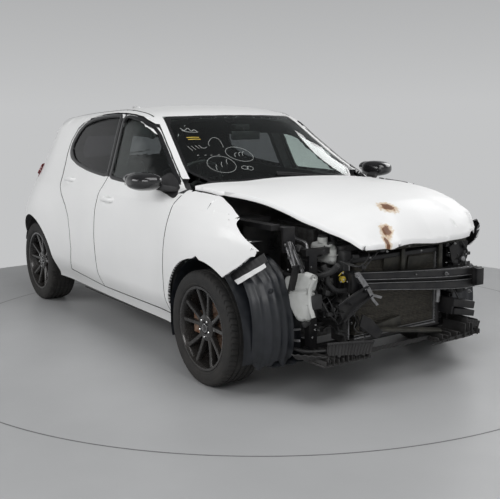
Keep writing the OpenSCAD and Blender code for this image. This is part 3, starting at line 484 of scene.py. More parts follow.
def skin_y(x, z, side):
    """Where the skin lies at the height z: the car's outside on one side."""
    x, z = np.broadcast_arrays(np.asarray(x, float), np.asarray(z, float))
    low, high = np.where(body(x, 690.0, z) < 0, 690.0, 0.0), np.full(x.shape, 1100.0)
    for _ in range(24):
        mid = (low + high) / 2
        inside = body(x, mid, z) < 0
        low, high = np.where(inside, mid, low), np.where(inside, high, mid)
    return side * low


def skin_z(x, y):
    """Height of the skin over a point of the plan."""
    x, y = np.broadcast_arrays(np.asarray(x, float), np.asarray(y, float))
    low, high = np.full(x.shape, 700.0), np.full(x.shape, 1700.0)
    for _ in range(24):
        mid = (low + high) / 2
        inside = body(x, y, mid) < 0
        low, high = np.where(inside, mid, low), np.where(inside, high, mid)
    return low


# ---------------------------------------------------------------- shapes


def finish_mesh(name, mesh, mat, rides_on, sharp=35):
    mesh.materials.clear()
    mesh.materials.append(mat)
    for polygon in mesh.polygons:
        polygon.use_smooth = True
        polygon.material_index = 0
    mesh.set_sharp_from_angle(angle=math.radians(sharp))
    obj = bpy.data.objects.new(name, mesh)
    bpy.context.scene.collection.objects.link(obj)
    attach(obj, rides_on)
    return obj


class Batch:
    """Many small shapes of one material on one body, joined in one mesh. Sizes in millimetres."""

    def __init__(self, name, mat, rides_on, slot):
        self.name, self.mat, self.rides_on, self.slot = name, mat, rides_on, slot
        self.verts, self.faces = [], []

    def add(self, verts, faces):
        base = len(self.verts)
        self.verts += [tuple(v) for v in verts]
        self.faces += [tuple(base + i for i in f) for f in faces]

    def done(self, sharp=35):
        mesh = bpy.data.meshes.new(self.name)
        mesh.from_pydata([(x * MM, y * MM, z * MM) for x, y, z in self.verts], [], self.faces)
        mesh.validate()
        bm = bmesh.new()
        bm.from_mesh(mesh)
        bmesh.ops.recalc_face_normals(bm, faces=bm.faces)
        bm.to_mesh(mesh)
        bm.free()
        obj = finish_mesh(self.name, mesh, self.mat, self.rides_on, sharp)
        return obj

    def block(self, low, high, radius=3.0, turn=None, about=None, segments=2):
        """A box with rounded edges between two corners, turned about a point if asked."""
        low, high = Vector(map(min, low, high)), Vector(map(max, low, high))
        bm = bmesh.new()
        bmesh.ops.create_cube(bm, size=1, matrix=Matrix.LocRotScale((low + high) / 2, None, high - low))
        radius = min(radius, 0.45 * min(high - low))
        bmesh.ops.bevel(bm, geom=list(bm.edges), offset=radius, segments=segments, affect="EDGES",
                        profile=0.5)
        if turn is not None:
            centre = Vector(about) if about is not None else (low + high) / 2
            bmesh.ops.transform(bm,
                                matrix=Matrix.Translation(centre) @ turn.to_4x4()
                                @ Matrix.Translation(-centre),
                                verts=bm.verts)
        bm.verts.index_update()
        self.add([v.co[:] for v in bm.verts], [[v.index for v in f.verts] for f in bm.faces])
        bm.free()

    def tube(self, points, radius, sides=10, bends=6, flat=1.0):
        """A tube through points along a smooth curve; flat squeezes it into a strap."""
        path = smooth_path(points, bends)
        rings, up = [], Vector((0, 0, 1))
        for i, p in enumerate(path):
            along = (path[min(i + 1, len(path) - 1)] - path[max(i - 1, 0)]).normalized()
            across = along.cross(up)
            across = across.normalized() if across.length > 1e-3 else Vector((0, 1, 0))
            up = across.cross(along).normalized()
            rings.append([p + radius * (math.cos(a) * across + flat * math.sin(a) * up)
                          for a in (2 * math.pi * k / sides for k in range(sides))])
        faces = [(i * sides + k, i * sides + (k + 1) % sides, (i + 1) * sides + (k + 1) % sides,
                  (i + 1) * sides + k)
                 for i in range(len(rings) - 1) for k in range(sides)]
        faces += [tuple(range(sides)), tuple((len(rings) - 1) * sides + k for k in range(sides))]
        self.add([v for r in rings for v in r], faces)

    def lathe(self, profile, centre, axis="Y", sign=1, segments=64, closed=False):
        """Turns (radius, along) points about an axis through a centre."""
        verts = []
        for r, t in profile:
            for k in range(segments):
                a = 2 * math.pi * k / segments
                c, s = r * math.cos(a), r * math.sin(a)
                verts.append({"X": (sign * t, c, s), "Y": (c, sign * t, s), "Z": (c, s, sign * t)}[axis])
        n = len(profile)
        faces = [(i * segments + k, i * segments + (k + 1) % segments,
                  (i + 1) % n * segments + (k + 1) % segments,
                  (i + 1) % n * segments + k) for i in range(n if closed else n - 1) for k in range(segments)]
        if not closed:
            faces += [tuple(range(segments)), tuple((n - 1) * segments + k for k in range(segments))]
        self.add([Vector(v) + Vector(centre) for v in verts], faces)

    def sheet(self, grid, thickness, direction):
        """A plate of even thickness under a grid of points."""
        rows, cols = len(grid), len(grid[0])
        shift = Vector(direction).normalized() * thickness
        top = [Vector(p) for row in grid for p in row]
        n = rows * cols
        quad = [(i * cols + j, i * cols + j + 1, (i + 1) * cols + j + 1, (i + 1) * cols + j)
                for i in range(rows - 1) for j in range(cols - 1)]
        rim = ([j for j in range(cols)] + [i * cols + cols - 1 for i in range(1, rows)]
               + [(rows - 1) * cols + j for j in range(cols - 2, -1,
                                                       -1)] + [i * cols for i in range(rows - 2, 0, -1)])
        sides = [(a, b, b + n, a + n) for a, b in zip(rim, rim[1:] + rim[:1])]
        self.add(top + [p - shift for p in top], quad + [tuple(n + i for i in f[::-1]) for f in quad] + sides)


def smooth_path(points, bends):
    """Points of a Catmull-Rom curve through the given ones."""
    p = [Vector(q) for q in points]
    if len(p) < 3:
        return p
    p = [2 * p[0] - p[1], *p, 2 * p[-1] - p[-2]]
    path = []
    for a, b, c, d in zip(p, p[1:], p[2:], p[3:]):
        for k in range(bends):
            t = k / bends
            path.append(0.5 * (2 * b + (c - a) * t + (2 * a - 5 * b + 4 * c - d) * t**2
                               + (3 * b - a - 3 * c + d) * t**3))
    return path + [p[-2]]


def lifted(p, lift):
    g = gradient(p)
    return p + lift * g / np.maximum(np.linalg.norm(g, axis=1), 1e-9)[:, None]


def on_side(side):
    """Place function for (x, z) points on one flank."""
    def place(uv, lift):
        p = np.stack([uv[:, 0], skin_y(uv[:, 0], uv[:, 1], SIDES[side]), uv[:, 1]], 1)
        return lifted(p, lift)
    return place


def on_top(uv, lift):
    return lifted(np.stack([uv[:, 0], uv[:, 1], skin_z(uv[:, 0], uv[:, 1])], 1), lift)


def on_tail(uv, lift):
    low, high = np.full(len(uv), -2100.0), np.full(len(uv), -1200.0)
    for _ in range(24):
        mid = (low + high) / 2
        inside = body(mid, uv[:, 0], uv[:, 1]) < 0
        low, high = np.where(inside, low, mid), np.where(inside, mid, high)
    return lifted(np.stack([high, uv[:, 0], uv[:, 1]], 1), lift)


def resample(points, step, closed=False):
    """Points at an even step along straight runs, corners kept."""
    pts = [tuple(p) for p in points] + ([tuple(points[0])] if closed else [])
    out = []
    for a, b in zip(pts, pts[1:]):
        n = max(1, round(math.dist(a, b) / step))
        out += [tuple(np.array(a) + (np.array(b) - np.array(a)) * k / n) for k in range(n)]
    return np.array(out if closed else out + [pts[-1]], float)


def strip(batch, path, place, half, high=1.4, base=-2.0, closed=False):
    """A bead with rounded edges along a path on the skin."""
    path = np.array(path, float)
    ahead = np.roll(path, -1, 0) if closed else np.vstack([path[1:], path[-1:]])
    behind = np.roll(path, 1, 0) if closed else np.vstack([path[:1], path[:-1]])
    t = ahead - behind
    t /= np.maximum(np.linalg.norm(t, axis=1), 1e-9)[:, None]
    across = np.stack([-t[:, 1], t[:, 0]], 1) * np.broadcast_to(half, (len(path),))[:, None]
    section = [(-1, base), (-1, high * 0.5), (-0.8, high), (0.8, high), (1, high * 0.5), (1, base)]
    rings = [place(path + across * a, lift) for a, lift in section]
    verts = np.stack(rings, 1).reshape(-1, 3)
    n, k = len(path), len(section)
    faces = [(i * k + j, i * k + (j + 1) % k, (i + 1) % n * k + (j + 1) % k, (i + 1) % n * k + j)
             for i in range(n if closed else n - 1) for j in range(k)]
    batch.add(verts, faces + ([] if closed else [tuple(range(k)), tuple((n - 1) * k + j for j in range(k))]))


def patch(batch, outline, place, high=1.0, base=-2.0, rings=4):
    """A thin plate with a given outline that follows the skin."""
    p = np.array(outline, float)
    centre = p.mean(0)
    levels = [centre + (p - centre) * (1 - k / rings) for k in range(rings)]
    top = np.vstack([place(level, high) for level in levels] + [place(centre[None], high)])
    low = place(p, base)
    n = len(p)
    verts = np.vstack([top, low])
    faces = [(r * n + j, r * n + (j + 1) % n, (r + 1) * n + (j + 1) % n, (r + 1) * n + j)
             for r in range(rings - 1) for j in range(n)]
    faces += [((rings - 1) * n + j, (rings - 1) * n + (j + 1) % n, rings * n) for j in range(n)]
    foot = rings * n + 1
    faces += [(j, (j + 1) % n, foot + (j + 1) % n,
               foot + j) for j in range(n)] + [tuple(foot + j for j in range(n))]
    batch.add(verts, faces)


def ellipse(cx, cy, rx, ry, n=40, tilt=0.0):
    a = np.arange(n) * 2 * math.pi / n
    u, v = rx * np.cos(a), ry * np.sin(a)
    c, s = math.cos(tilt), math.sin(tilt)
    return np.stack([cx + u * c - v * s, cy + u * s + v * c], 1)


def blob(batch, balls, segments=28):
    """The smooth hull around a set of balls (x, y, z, radius)."""
    bm = bmesh.new()
    for x, y, z, r in balls:
        bmesh.ops.create_uvsphere(bm, u_segments=segments, v_segments=segments // 2, radius=r,
                                  matrix=Matrix.Translation((x, y, z)))
    out = bmesh.ops.convex_hull(bm, input=bm.verts)
    inside = {e for e in out["geom_interior"] + out["geom_unused"] if isinstance(e, bmesh.types.BMVert)}
    bmesh.ops.delete(bm, geom=list(inside), context="VERTS")
    bmesh.ops.remove_doubles(bm, verts=bm.verts, dist=0.3)
    bm.verts.index_update()
    batch.add([v.co[:] for v in bm.verts], [[v.index for v in f.verts] for f in bm.faces])
    bm.free()


# ---------------------------------------------------------------- smooth panels from the CAD solids


def copy_of(node):
    """An editable copy of a CAD node's mesh, with its doubled corners merged."""
    bm = bmesh.new()
    bm.from_mesh(NODES[node].data)
    bmesh.ops.remove_doubles(bm, verts=bm.verts, dist=2e-5)
    bmesh.ops.triangulate(bm, faces=bm.faces)
    return bm


def outer_faces(bm, reach=7.0, cosine=0.75):
    """Faces that are part of the car's skin."""
    centre = np.array([f.calc_center_median() for f in bm.faces]) / MM
    normal = np.array([f.normal for f in bm.faces])
    g = gradient(centre)
    g /= np.maximum(np.linalg.norm(g, axis=1), 1e-9)[:, None]
    level = body(*centre.T)
    return (np.einsum("ij,ij->i", g, normal) > cosine) & (level > -reach) & (level < 3)


def refine(bm, chosen, longest, passes=4):
    """Splits the long edges of chosen faces until they are short."""
    for _ in range(passes):
        bm.faces.ensure_lookup_table()
        mask = chosen(bm)
        long_edges = {e for f, m in zip(bm.faces, mask) if m for e in f.edges if e.calc_length() > longest}
        if not long_edges:
            return
        bmesh.ops.subdivide_edges(bm, edges=list(long_edges), cuts=1)
        bmesh.ops.triangulate(bm, faces=[f for f in bm.faces if len(f.verts) > 3])
        bm.normal_update()


HANDLES = {"door_front": (10, 896), "door_rear": (-730, 985)}
DISH = (62, 30, 11)  # half width, half height and depth of the hollow behind a door handle


def dish(x, z, node):
    """Depth of the hollow behind the handle at a point of the flank."""
    spot = HANDLES.get(node.rsplit("_", 1)[0])
    if spot is None:
        return np.zeros_like(x)
    r2 = ((x - spot[0]) / DISH[0]) ** 2 + ((z - spot[1] + 2) / DISH[1]) ** 2
    return DISH[2] * np.maximum(0, 1 - r2) ** 1.5


def panel(node, mat, longest=0.030, inner=None, reach=7.0, cosine=0.75):
    """A body panel whose outside lies on the true curved skin, with the skin's own normals."""
    bm = copy_of(node)
    bm.normal_update()

    def outside(b):
        return outer_faces(b, reach, cosine)
    refine(bm, outside, longest)
    spot = HANDLES.get(node.rsplit("_", 1)[0])
    if spot:
        def near_handle(b):
            c = np.array([f.calc_center_median() for f in b.faces]) / MM
            near = (np.abs(c[:, 0] - spot[0]) < DISH[0] + 8) & (np.abs(c[:, 2] - spot[1]) < DISH[1] + 8)
            return outer_faces(b) & near
        refine(bm, near_handle, 0.008, 4)
    bm.verts.index_update()
    mask = outside(bm)
    moved = sorted({v.index for f, m in zip(bm.faces, mask) if m for v in f.verts})
    bm.verts.ensure_lookup_table()
    if moved:
        at = np.array([bm.verts[i].co for i in moved]) / MM
        on = settle(at)
        near = np.linalg.norm(on - at, axis=1) < reach + 2
        deep = dish(on[:, 0], on[:, 2], node)
        g = gradient(on)
        on = on - deep[:, None] * g / np.maximum(np.linalg.norm(g, axis=1), 1e-9)[:, None]
        for i, p, ok in zip(moved, on, near):
            if ok:
                bm.verts[i].co = Vector(p) * MM
    low, high = CAD_BOX
    for v in bm.verts:
        v.co = Vector(min(max(c, a), b) for c, a, b in zip(v.co, low, high))
    mesh = bpy.data.meshes.new(node + "_panel")
    bm.to_mesh(mesh)
    bm.free()
    obj = finish_mesh(node + "_panel", mesh, mat, BODY_OF[node], 30)
    if inner is not None:
        mesh.materials.append(inner)
        centre = np.array([f.center for f in mesh.polygons]) / MM
        g = gradient(centre)
        g /= np.maximum(np.linalg.norm(g, axis=1), 1e-9)[:, None]
        facing = np.einsum("ij,ij->i", g, np.array([f.normal for f in mesh.polygons]))
        depth = body(*centre.T)
        inside = (depth < -reach - 5) | ((depth < -7.5) & (facing < 0.3))
        for f, m in zip(mesh.polygons, inside):
            f.material_index = int(m)
    true_normals(mesh, node)
    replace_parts(obj, node)
    return obj


def true_normals(mesh, node):
    """Corner normals from the skin where a face runs along it, by angle elsewhere."""
    n = len(mesh.loops)
    corner = np.empty(n * 3, np.float32)
    mesh.corner_normals.foreach_get("vector", corner)
    corner = corner.reshape(-1, 3).astype(float)
    where, owner = np.empty(n, np.int64), np.empty(n, np.int64)
    mesh.loops.foreach_get("vertex_index", where)
    for polygon in mesh.polygons:
        owner[polygon.loop_start:polygon.loop_start + polygon.loop_total] = polygon.index
    co = np.empty(len(mesh.vertices) * 3)
    mesh.vertices.foreach_get("co", co)
    g = gradient(co.reshape(-1, 3) / MM)
    g /= np.maximum(np.linalg.norm(g, axis=1), 1e-9)[:, None]
    flat = np.empty(len(mesh.polygons) * 3)
    mesh.polygons.foreach_get("normal", flat)
    flat = flat.reshape(-1, 3)[owner]
    along = np.einsum("ij,ij->i", g[where], flat)
    at = co.reshape(-1, 3)[where] / MM
    use = (np.abs(along) > 0.80) & (dish(at[:, 0], at[:, 2], node) < 0.05)
    corner[use] = g[where][use] * np.sign(along[use])[:, None]
    mesh.normals_split_custom_set(corner.tolist())


WING_TOP = [(872, 1010), (1000, 1004), (1181, 992), (1258, 973), (1327, 954), (1384, 934), (1420, 915),
            (1441, 892)]


def trim_wing(obj):
    """Brings the damaged wing's upper edge down to the smooth line seen in the photograph."""
    mesh = obj.data
    co = np.empty(len(mesh.vertices) * 3)
    mesh.vertices.foreach_get("co", co)
    p = co.reshape(-1, 3) / MM
    line = curve(WING_TOP, p[:, 0])
    high = (p[:, 2] > line) & (p[:, 0] < 1441)
    depth = np.maximum(0, -body(*p[high].T))
    at = p[high]
    at[:, 2] = line[high]
    at[:, 1] = skin_y(at[:, 0], at[:, 2], -1) + np.minimum(depth, 6)
    p[high] = at
    mesh.vertices.foreach_set("co", (p * MM).ravel())
    mesh.update()
    true_normals(mesh, "wing_right")


WING_EDGE = [(1000, 1004), (1100, 999), (1181, 992), (1258, 973), (1327, 954), (1384, 934), (1428, 916),
             (1440, 904), (1441, 892),
             (1452, 878), (1470, 866), (1494, 849), (1534, 824), (1570, 803), (1604, 779), (1613, 768),
             (1604, 755), (1593, 743)]


def wing_lip(m):
    """The torn wing's upper edge: a smooth painted lip round the notch to the tip."""
    lip = Batch("wing_lip_right", m["paint"], "body", "white_paint")
    path = resample(smooth_2d(WING_EDGE), 6)
    ahead, behind = np.vstack([path[1:], path[-1:]]), np.vstack([path[:1], path[:-1]])
    t = (ahead - behind) / np.maximum(np.linalg.norm(ahead - behind, axis=1), 1e-9)[:, None]
    inward = np.stack([t[:, 1], -t[:, 0]], 1)
    half = np.interp(np.arange(len(path)), [0, 20, len(path) - 22, len(path) - 1], [10, 34, 30, 8])
    strip(lip, path + inward * half[:, None], on_side("right"), half, 0.3, -2.2)
    lip.done(40)


def bonnet(mat):
    """The bonnet at full resolution, with its sharp front dent and small buckles."""
    bm = copy_of("bonnet")
    bm.normal_update()
    refine(bm, lambda b: np.array([abs(f.normal.z) > 0.35 for f in b.faces]), 0.020, 5)
    at = np.array([v.co for v in bm.verts]) / MM
    solid = solid_bonnet_z(at[:, 0], at[:, 1])
    top = bonnet_top(at[:, 0], at[:, 1])
    ripple = 1.2 * np.sin(at[:, 1] / 38) * ss(1600, 1860, at[:,
                                                             0]) + 1.5 * np.sin(at[:, 0] / 55 + at[:, 1] / 90)
    upper = np.abs(at[:, 2] - solid) < np.abs(at[:, 2] - solid + 22)
    for v, z, r, u in zip(bm.verts, top, ripple, upper):
        v.co.z = (z + r * 0.6 - (0 if u else 22)) * MM
    mesh = bpy.data.meshes.new("bonnet_panel")
    bm.to_mesh(mesh)
    bm.free()
    obj = finish_mesh("bonnet_panel", mesh, mat, "bonnet", 40)
    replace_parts(obj, "bonnet")
    return obj


def keep_cad(node, mat):
    """A CAD node that stays, with a finished material."""
    obj = NODES[node]
    obj.data.materials.clear()
    obj.data.materials.append(mat)


# ---------------------------------------------------------------- wheels


def wheel(end, side, m):
    """Ten-spoke alloy, brake disc and grooved tyre on one wheel body."""
    name, sign = f"{end}_{side}", SIDES[side]
    low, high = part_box("tyre_" + name)
    centre, body_name = (low + high) / 2 / MM, "wheel_" + name
    low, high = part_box("rim_" + name)
    centre = Vector(((low.x + high.x) / 2, (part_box("tyre_" + name)[0].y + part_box("tyre_" + name)[1].y) / 2,
                     (low.z + high.z) / 2)) / MM
    r = 216.0
    rim = Batch("alloy_" + name, m["alloy"], body_name, "black_alloy")
    rim.lathe([(r + 9, 94), (r + 4, 95), (r - 3, 93), (r - 8, 86), (r - 11, 70), (r - 20, 40), (r - 24, 20),
               (r - 24, -30),
               (r - 13, -60), (r - 9, -84), (r, -94), (r + 9, -94), (r + 8, -88), (r, -83), (r - 4, -60),
               (r - 16, -30),
               (r - 16, 30), (r - 4, 60), (r, 83), (r + 8, 88)], centre, "Y", sign, 120, closed=True)
    rim.lathe([(0, 58), (30, 60), (34, 66), (60, 68), (70, 62), (74, 50), (66, 34), (40, 24), (0, 22)],
              centre, "Y", sign, 60)
    for pair in range(5):
        for lean in (-15, 15):
            rim.add(*spoke(math.radians(90 + 72 * pair + lean), lean, centre, sign))
    obj = rim.done(38)
    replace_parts(obj, "rim_" + name)
    cap = Batch("cap_" + name, m["gloss"], body_name, "black_alloy")
    cap.lathe([(0, 71), (18, 71), (26, 69), (29, 64), (29, 58), (0, 58)], centre, "Y", sign, 40)
    cap.done(40)
    bolts = Batch("wheel_bolts_" + name, m["chrome"], body_name, "aluminium")
    for k in range(5):
        a = math.radians(54 + 72 * k)
        at = centre + Vector((47 * math.cos(a), 0, 47 * math.sin(a)))
        bolts.lathe([(0, 76), (6, 76), (8.5, 73), (8.5, 60), (0, 60)], at, "Y", sign, 6)
    bolts.lathe([(20, 71.4), (21.5, 71.9), (23, 71.2), (22, 70.4)], centre, "Y", sign, 40, closed=True)
    bolts.done(40)
    disc = Batch("brake_disc_" + name, m["rust"], body_name, "cast_iron")
    disc.lathe([(70, 10), (127, 10), (128, 8), (128, 1), (118, 0), (118, -3), (128, -4), (128, -11),
                (70, -12)], centre, "Y",
               sign, 90, closed=True)
    disc.lathe([(72, 12), (72, -12), (60, -14), (22, -14), (22, 20), (68, 21)], centre, "Y", sign, 60,
               closed=True)
    disc.done(30)
    tyre(name, centre, sign, body_name, m)


def spoke(angle, lean, centre, sign):
    """One alloy spoke: wide at the hub, waisted, and spread where it meets the rim."""
    radii = [44, 60, 85, 115, 150, 180, 200, 209]
    verts, out = [], Vector((math.cos(angle), 0, math.sin(angle)))
    across = Vector((-math.sin(angle), 0, math.cos(angle)))
    for r in radii:
        t = (r - 44) / 165
        half = 15 - 11 * t + 9 * t * t
        front = 62 + 20 * t ** 1.6
        slant = -0.05 * lean * (1 - t) * 10
        back = front - 30 + 6 * t
        for u, y in [(-1, back), (-1, front - 7), (-0.72, front - 1.5), (0.15, front), (0.72, front - 2.5),
                     (1, front - 9), (1, back)]:
            p = out * r + across * (half * u + slant * 0.6)
            verts.append(centre + Vector((p.x, sign * y, p.z)))
    n = 7
    faces = [(i * n + k, i * n + (k + 1) % n, (i + 1) * n + (k + 1) % n, (i + 1) * n + k)
             for i in range(len(radii) - 1) for k in range(n)]
    return verts, faces + [tuple(range(n)), tuple((len(radii) - 1) * n + k for k in range(n))]


def tyre(name, centre, sign, body_name, m):
    """Tyre with four grooves round the tread, cross cuts in its shoulders and ribs on the side wall."""
    segments, t = 300, 308.0  # t is the tread's radius
    side = [(217, 83), (226, 84), (228, 93), (234, 99), (240, 101), (243, 100.2), (246, 101.6), (262, 103),
            (275, 102.6),
            (277, 101.8), (279, 102.2), (290, 99.5), (298, 95), (303.5, 88), (306.5, 80)]
    tread = [(t, 74), (t, 56), (t - 7, 54), (t - 7, 46), (t, 44), (t, 24), (t - 7, 22), (t - 7, 13), (t, 11)]
    profile = side + tread + [(r, -y) for r, y in (side + tread)[::-1]]
    verts = []
    for i, (r, y) in enumerate(profile):
        for k in range(segments):
            a = 2 * math.pi * (k + (0.8 * y / 25 if abs(y) < 90 else 0)) / segments
            cut = (5.0 if k % 5 == 0 and r > 297 and 56 <= abs(y) < 96
                   else 2.5 if k % 5 == 2 and r >= t and abs(y) < 50 else 0)
            verts.append(centre + Vector(((r - cut) * math.cos(a), sign * y, (r - cut) * math.sin(a))))
    inner = [(222, -70), (262, -94), (296, -60), (296, 60), (262, 94), (222, 70)]
    for r, y in inner:
        verts += [centre + Vector((r * math.cos(2 * math.pi * k / segments), sign * y,
                                   r * math.sin(2 * math.pi * k / segments)))
                  for k in range(segments)]
    n = len(profile) + len(inner)
    faces = [(i * segments + k, i * segments + (k + 1) % segments,
              (i + 1) % n * segments + (k + 1) % segments,
              (i + 1) % n * segments + k) for i in range(n) for k in range(segments)]
    batch = Batch("grooved_tyre_" + name, m["rubber"], body_name, "rubber")
    batch.add(verts, faces)
    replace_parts(batch.done(30), "tyre_" + name)


# ---------------------------------------------------------------- trims on the body

SPLIT = [(-163, 800), (-142, 940), (-117, 1033), (-187, 1470)]
TAIL_GLASS = [(-470, 1085), (-462, 1180), (-440, 1290), (-415, 1345), (415, 1345), (440, 1290), (462, 1180),
              (470, 1085)]


def split_x(z):
    return np.interp(z, [p[1] for p in SPLIT], [p[0] for p in SPLIT])


def rounded(points, step=14, rounds=2):
    """A closed outline with its corners softened."""
    p = resample(points, step, True)
    for _ in range(rounds):
        p = (np.roll(p, 1, 0) + 2 * p + np.roll(p, -1, 0)) / 4
    return p


def edge_loop(node, step=12.0, rounds=8):
    """The closed outer edge of a glass node, as evenly spaced points in order."""
    bm = copy_of(node)
    bm.normal_update()
    bm.faces.ensure_lookup_table()
    mask = outer_faces(bm, 30.0)
    bm.verts.index_update()
    count, near = {}, {}
    for f, m in zip(bm.faces, mask):
        if m:
            for e in f.edges:
                count[e] = count.get(e, 0) + 1
    for e, n in count.items():
        if n == 1:
            a, b = e.verts
            near.setdefault(a.index, []).append(b.index)
            near.setdefault(b.index, []).append(a.index)
    bm.verts.ensure_lookup_table()
    best, left = [], set(near)
    while left:
        start = min(left)
        loop, last, here = [start], None, start
        left.discard(start)
        while True:
            ahead = [i for i in near[here] if i != last and i in left]
            if not ahead:
                break
            last, here = here, ahead[0]
            left.discard(here)
            loop.append(here)
        if len(loop) > len(best):
            best = loop
    points = np.array([bm.verts[i].co for i in best]) / MM
    bm.free()
    closed = np.vstack([points, points[:1]])
    run = np.concatenate([[0], np.cumsum(np.linalg.norm(np.diff(closed, axis=0), axis=1))])
    n = max(12, int(run[-1] / step))
    at = np.linspace(0, run[-1], n, endpoint=False)
    out = np.stack([np.interp(at, run, closed[:, a]) for a in range(3)], 1)
    for _ in range(rounds):
        out = (np.roll(out, 1, 0) + 2 * out + np.roll(out, -1, 0)) / 4
    return settle(out)


def ring_faces(rows, cols, closed=True):
    """Quads between rows of cols points; each row closes on itself, and so do the rows if closed."""
    return [(i * cols + k, i * cols + (k + 1) % cols, (i + 1) % rows * cols + (k + 1) % cols,
             (i + 1) % rows * cols + k)
            for i in range(rows if closed else rows - 1) for k in range(cols)]


def band(batch, loop, inner, outer, high=1.4, base=-2.0):
    """A flat seal along a closed loop on the skin, from inner (towards the middle) to outer."""
    t = np.roll(loop, -1, 0) - np.roll(loop, 1, 0)
    t /= np.maximum(np.linalg.norm(t, axis=1), 1e-9)[:, None]
    g = gradient(loop)
    g /= np.maximum(np.linalg.norm(g, axis=1), 1e-9)[:, None]
    across = np.cross(g, t)
    inward = np.sign(np.einsum("ij,ij->i", across, loop.mean(0) - loop).mean())
    across *= inward
    inner, outer = np.broadcast_to(inner, len(loop)), np.broadcast_to(outer, len(loop))
    section = [(1.0, base), (1.0, high * 0.5), (0.9, high), (0.1, high), (0.0, high * 0.5), (0.0, base)]
    rings = [lifted(settle(loop + across * (-outer + (inner + outer) * u)[:, None]), lift) for u,
             lift in section]
    n, k = len(loop), len(section)
    verts = np.stack(rings, 1).reshape(-1, 3)
    batch.add(verts, ring_faces(n, k))


def side_windows(side, m):
    place = on_side(side)
    for end in ("front", "rear"):
        door = f"door_{end}_{side}"
        rubber = Batch(f"window_seal_{end}_{side}", m["gloss"], door, "black_plastic")
        edge = edge_loop(f"glass_{end}_{side}")
        wide = 13 + (20 * ss(-760, -900, edge[:, 0]) if end == "rear" else 0)
        band(rubber, edge, wide, 11, 1.5, -12)
        z = np.linspace(1036, 1412, 26)
        x = split_x(z)
        near, far = (x + 5, x + 33) if end == "front" else (x - 5, x - 30)
        strip(rubber, np.stack([(near + far) / 2, z], 1), place, np.abs(far - near) / 2, 1.2, -3)
        rubber.done(40)


def door_furniture(side, m):
    place, sign = on_side(side), SIDES[side]
    for end, (x, z) in (("front", HANDLES["door_front"]), ("rear", HANDLES["door_rear"])):
        door = f"door_{end}_{side}"
        bar = Batch(f"door_handle_{end}_{side}", m["paint"], door, "white_paint")
        t = np.linspace(-1, 1, 17)
        path = place(np.stack([x + 84 * t, z + 4 - 3 * t * t], 1), 0)
        path[:, 1] += sign * (26 * (1 - np.abs(t) ** 5) - 3)
        bar.tube(path.tolist(), 6.5, 18, 2, 2.0)
        for u in (-70, 72):
            patch(bar, ellipse(x + u, z + 2, 20, 16, 28), place, 3.0, -3)
        bar.done(50)
        lock = Batch(f"handle_lock_{end}_{side}", m["zinc"], door, "aluminium")
        patch(lock, ellipse(x - 70, z + 2, 7, 7, 24), place, 4.2, -2)
        lock.done(40)
    sill = Batch(f"sill_line_{side}", m["plastic"], "body", "black_plastic")
    strip(sill, np.stack([np.linspace(760, -600, 60), np.linspace(216, 216, 60)], 1), place, 3.0, 0.8, -4)
    sill.done(40)


def mirror(side, m):
    """Door mirror: smooth housing, foot, sail plate, repeater and glass."""
    sign, door = SIDES[side], f"door_front_{side}"
    shell = Batch(f"mirror_housing_{side}", m["gloss"], door, "black_plastic")
    low, high = (Vector(c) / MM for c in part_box(f"mirror_{side}"))
    pod(shell, (low.x + 2, high.x - 8), (sign * 806, sign * (max(abs(low.y), abs(high.y)) - 1)),
        (low.z + 8, high.z - 1))
    shell.done(80)
    foot = Batch(f"mirror_foot_{side}", m["plastic"], door, "black_plastic")
    blob(foot, [(x, -y * sign, z, 9) for x, y, z in
                [(655, -845, 1018), (655, -845, 1034), (712, -845, 1018), (712, -845, 1034),
                 (700, -768, 1000), (700, -768, 1016),
                 (782, -752, 1000), (782, -752, 1014)]], 16)
    sail = rounded([(520, 1020), (600, 1092), (690, 1050), (756, 1012), (822, 982), (812, 962), (760, 966),
                    (640, 992),
                    (540, 1004)], 8, 3)
    patch(foot, sail, on_side(side), 3.2, -3)
    foot.done(50)
    strip_light = Batch(f"mirror_repeater_{side}", m["tank"], door, "clear_glass")
    strip_light.tube([(566, sign * 968, 1046), (604, sign * 980.5, 1036), (650, sign * 960, 1034)], 2.6, 10,
                     5)
    strip_light.done(50)
    glass = Batch(f"mirror_glass_{side}", m["chrome"], door, "clear_glass")
    low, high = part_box(f"mirror_{side}")
    rim = [(low.x / MM + 3, sign * (897 + 70 * math.cos(a)), 1066 + 33 * math.sin(a))
           for a in np.linspace(0, 2 * math.pi, 33)[:-1]]
    glass.add(rim + [(x + 22, y, z) for x, y, z in rim], [tuple(range(32)), tuple(range(63, 31, -1))]
              + [(k, (k + 1) % 32, 32 + (k + 1) % 32, 32 + k) for k in range(32)])
    glass.done(40)
    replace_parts(bpy.data.objects[f"mirror_housing_{side}"], f"mirror_{side}")


